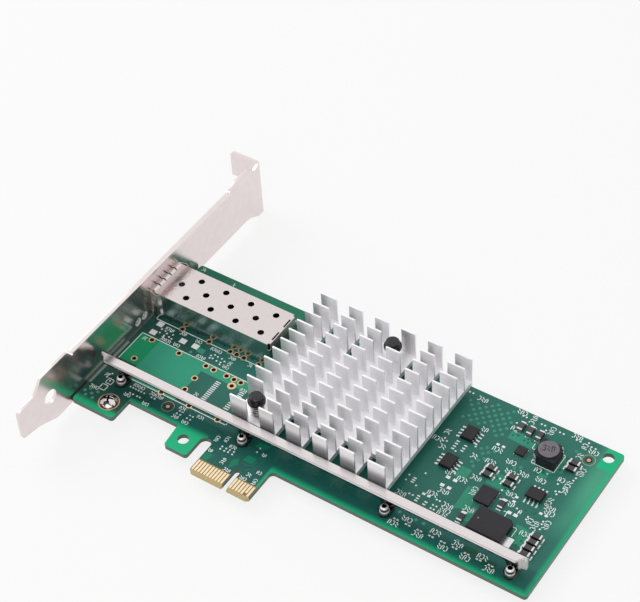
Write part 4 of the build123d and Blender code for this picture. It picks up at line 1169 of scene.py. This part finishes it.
class CARD_OT_stage(bpy.types.Operator):
    """Add the floor, lamps, world and camera"""

    bl_idname = "card.stage"
    bl_label = "Build the stage"

    def execute(self, context):
        settings = context.scene.card_stage
        half = settings.floor_size / 2
        low = CAD_BOX[0][2] - FLOOR_GAP
        mesh = bpy.data.meshes.new("floor")
        corners = [(-half, -half, low), (half, -half, low), (half, half, low), (-half, half, low)]
        mesh.from_pydata(corners, [], [(0, 1, 2, 3)])
        floor = linked("floor", mesh)
        give(floor, self.floor_material())
        self.world(context.scene, settings.sky)
        self.lamp("key", *KEY_LAMP, settings.key)
        self.lamp("fill", *FILL_LAMP, settings.fill)
        camera = linked("camera", bpy.data.cameras.new("camera"))
        right, down, ahead = (Vector(axis) for axis in CAMERA_AXES)
        turn = Matrix((right, -down, -ahead)).transposed().to_4x4()
        camera.matrix_world = Matrix.Translation(CAMERA_PLACE) @ turn
        camera.data.lens = settings.lens
        camera.data.sensor_width = SENSOR
        camera.data.clip_start, camera.data.clip_end = CLIP
        context.scene.camera = camera
        context.scene.view_settings.view_transform = "Standard"
        return {"FINISHED"}

    def lamp(self, name, place, size, power):
        """A soft square lamp that looks at the middle of the card."""
        light = bpy.data.lights.new(name, "AREA")
        light.size = size
        light.energy = power
        lamp = linked(name, light)
        lamp.location = place
        lamp.rotation_euler = (Vector(LAMP_TARGET) - Vector(place)).to_track_quat("-Z", "Y").to_euler()

    def floor_material(self):
        """Pale paper that takes the shadow, mixed with white for the eye."""
        material = bpy.data.materials.new("floor")
        n = Tree(material)
        n.tree.nodes.clear()
        paper = n.add("ShaderNodeBsdfDiffuse")
        n.join(FLOOR_COLOUR, paper.inputs["Color"])
        glow = n.add("ShaderNodeEmission")
        mix = n.add("ShaderNodeMixShader")
        n.join(n.math("MULTIPLY", n.seen_by_eye(), FLOOR_GLOW), mix.inputs["Fac"])
        n.join(paper.outputs[0], mix.inputs[1])
        n.join(glow.outputs[0], mix.inputs[2])
        n.join(mix.outputs[0], n.add("ShaderNodeOutputMaterial").inputs["Surface"])
        return material

    def world(self, scene, sky):
        """White for the eye, and the sky's own strength as light."""
        scene.world = bpy.data.worlds.new("studio")
        n = Tree(scene.world)
        back = n.tree.nodes["Background"]
        n.join((1.0, 1.0, 1.0), back.inputs["Color"])
        n.join(n.span(n.seen_by_eye(), sky, 1.0), back.inputs["Strength"])


class CARD_PT_panel(bpy.types.Panel):
    """Sidebar panel with the card's settings and steps"""

    bl_idname = "CARD_PT_panel"
    bl_label = "Network card"
    bl_space_type = "VIEW_3D"
    bl_region_type = "UI"
    bl_category = "Card"

    def draw(self, context):
        scene = context.scene
        for group in (scene.card_board, scene.card_relief, scene.card_metal, scene.card_stage):
            for key in group.bl_rna.properties.keys():
                if key not in ("rna_type", "name"):
                    self.layout.prop(group, key)
        for operator in OPERATORS:
            self.layout.operator(operator.bl_idname)


SETTINGS = {
    "card_board": CardBoardSettings,
    "card_relief": CardReliefSettings,
    "card_metal": CardMetalSettings,
    "card_stage": CardStageSettings,
}
OPERATORS = (
    CARD_OT_cad_finish, CARD_OT_sheet_parts, CARD_OT_fasteners, CARD_OT_small_parts, CARD_OT_mask_relief,
    CARD_OT_plating, CARD_OT_details, CARD_OT_solder, CARD_OT_ink, CARD_OT_stage,
)
CLASSES = (*SETTINGS.values(), *OPERATORS, CARD_PT_panel)


def register():
    for cls in CLASSES:
        bpy.utils.register_class(cls)
    for key, cls in SETTINGS.items():
        setattr(bpy.types.Scene, key, bpy.props.PointerProperty(type=cls))


def unregister():
    for key in SETTINGS:
        delattr(bpy.types.Scene, key)
    for cls in reversed(CLASSES):
        bpy.utils.unregister_class(cls)


def main():
    register()
    for operator in OPERATORS:
        group, name = operator.bl_idname.split(".")
        getattr(getattr(bpy.ops, group), name)()


if __name__ == "__main__":
    main()
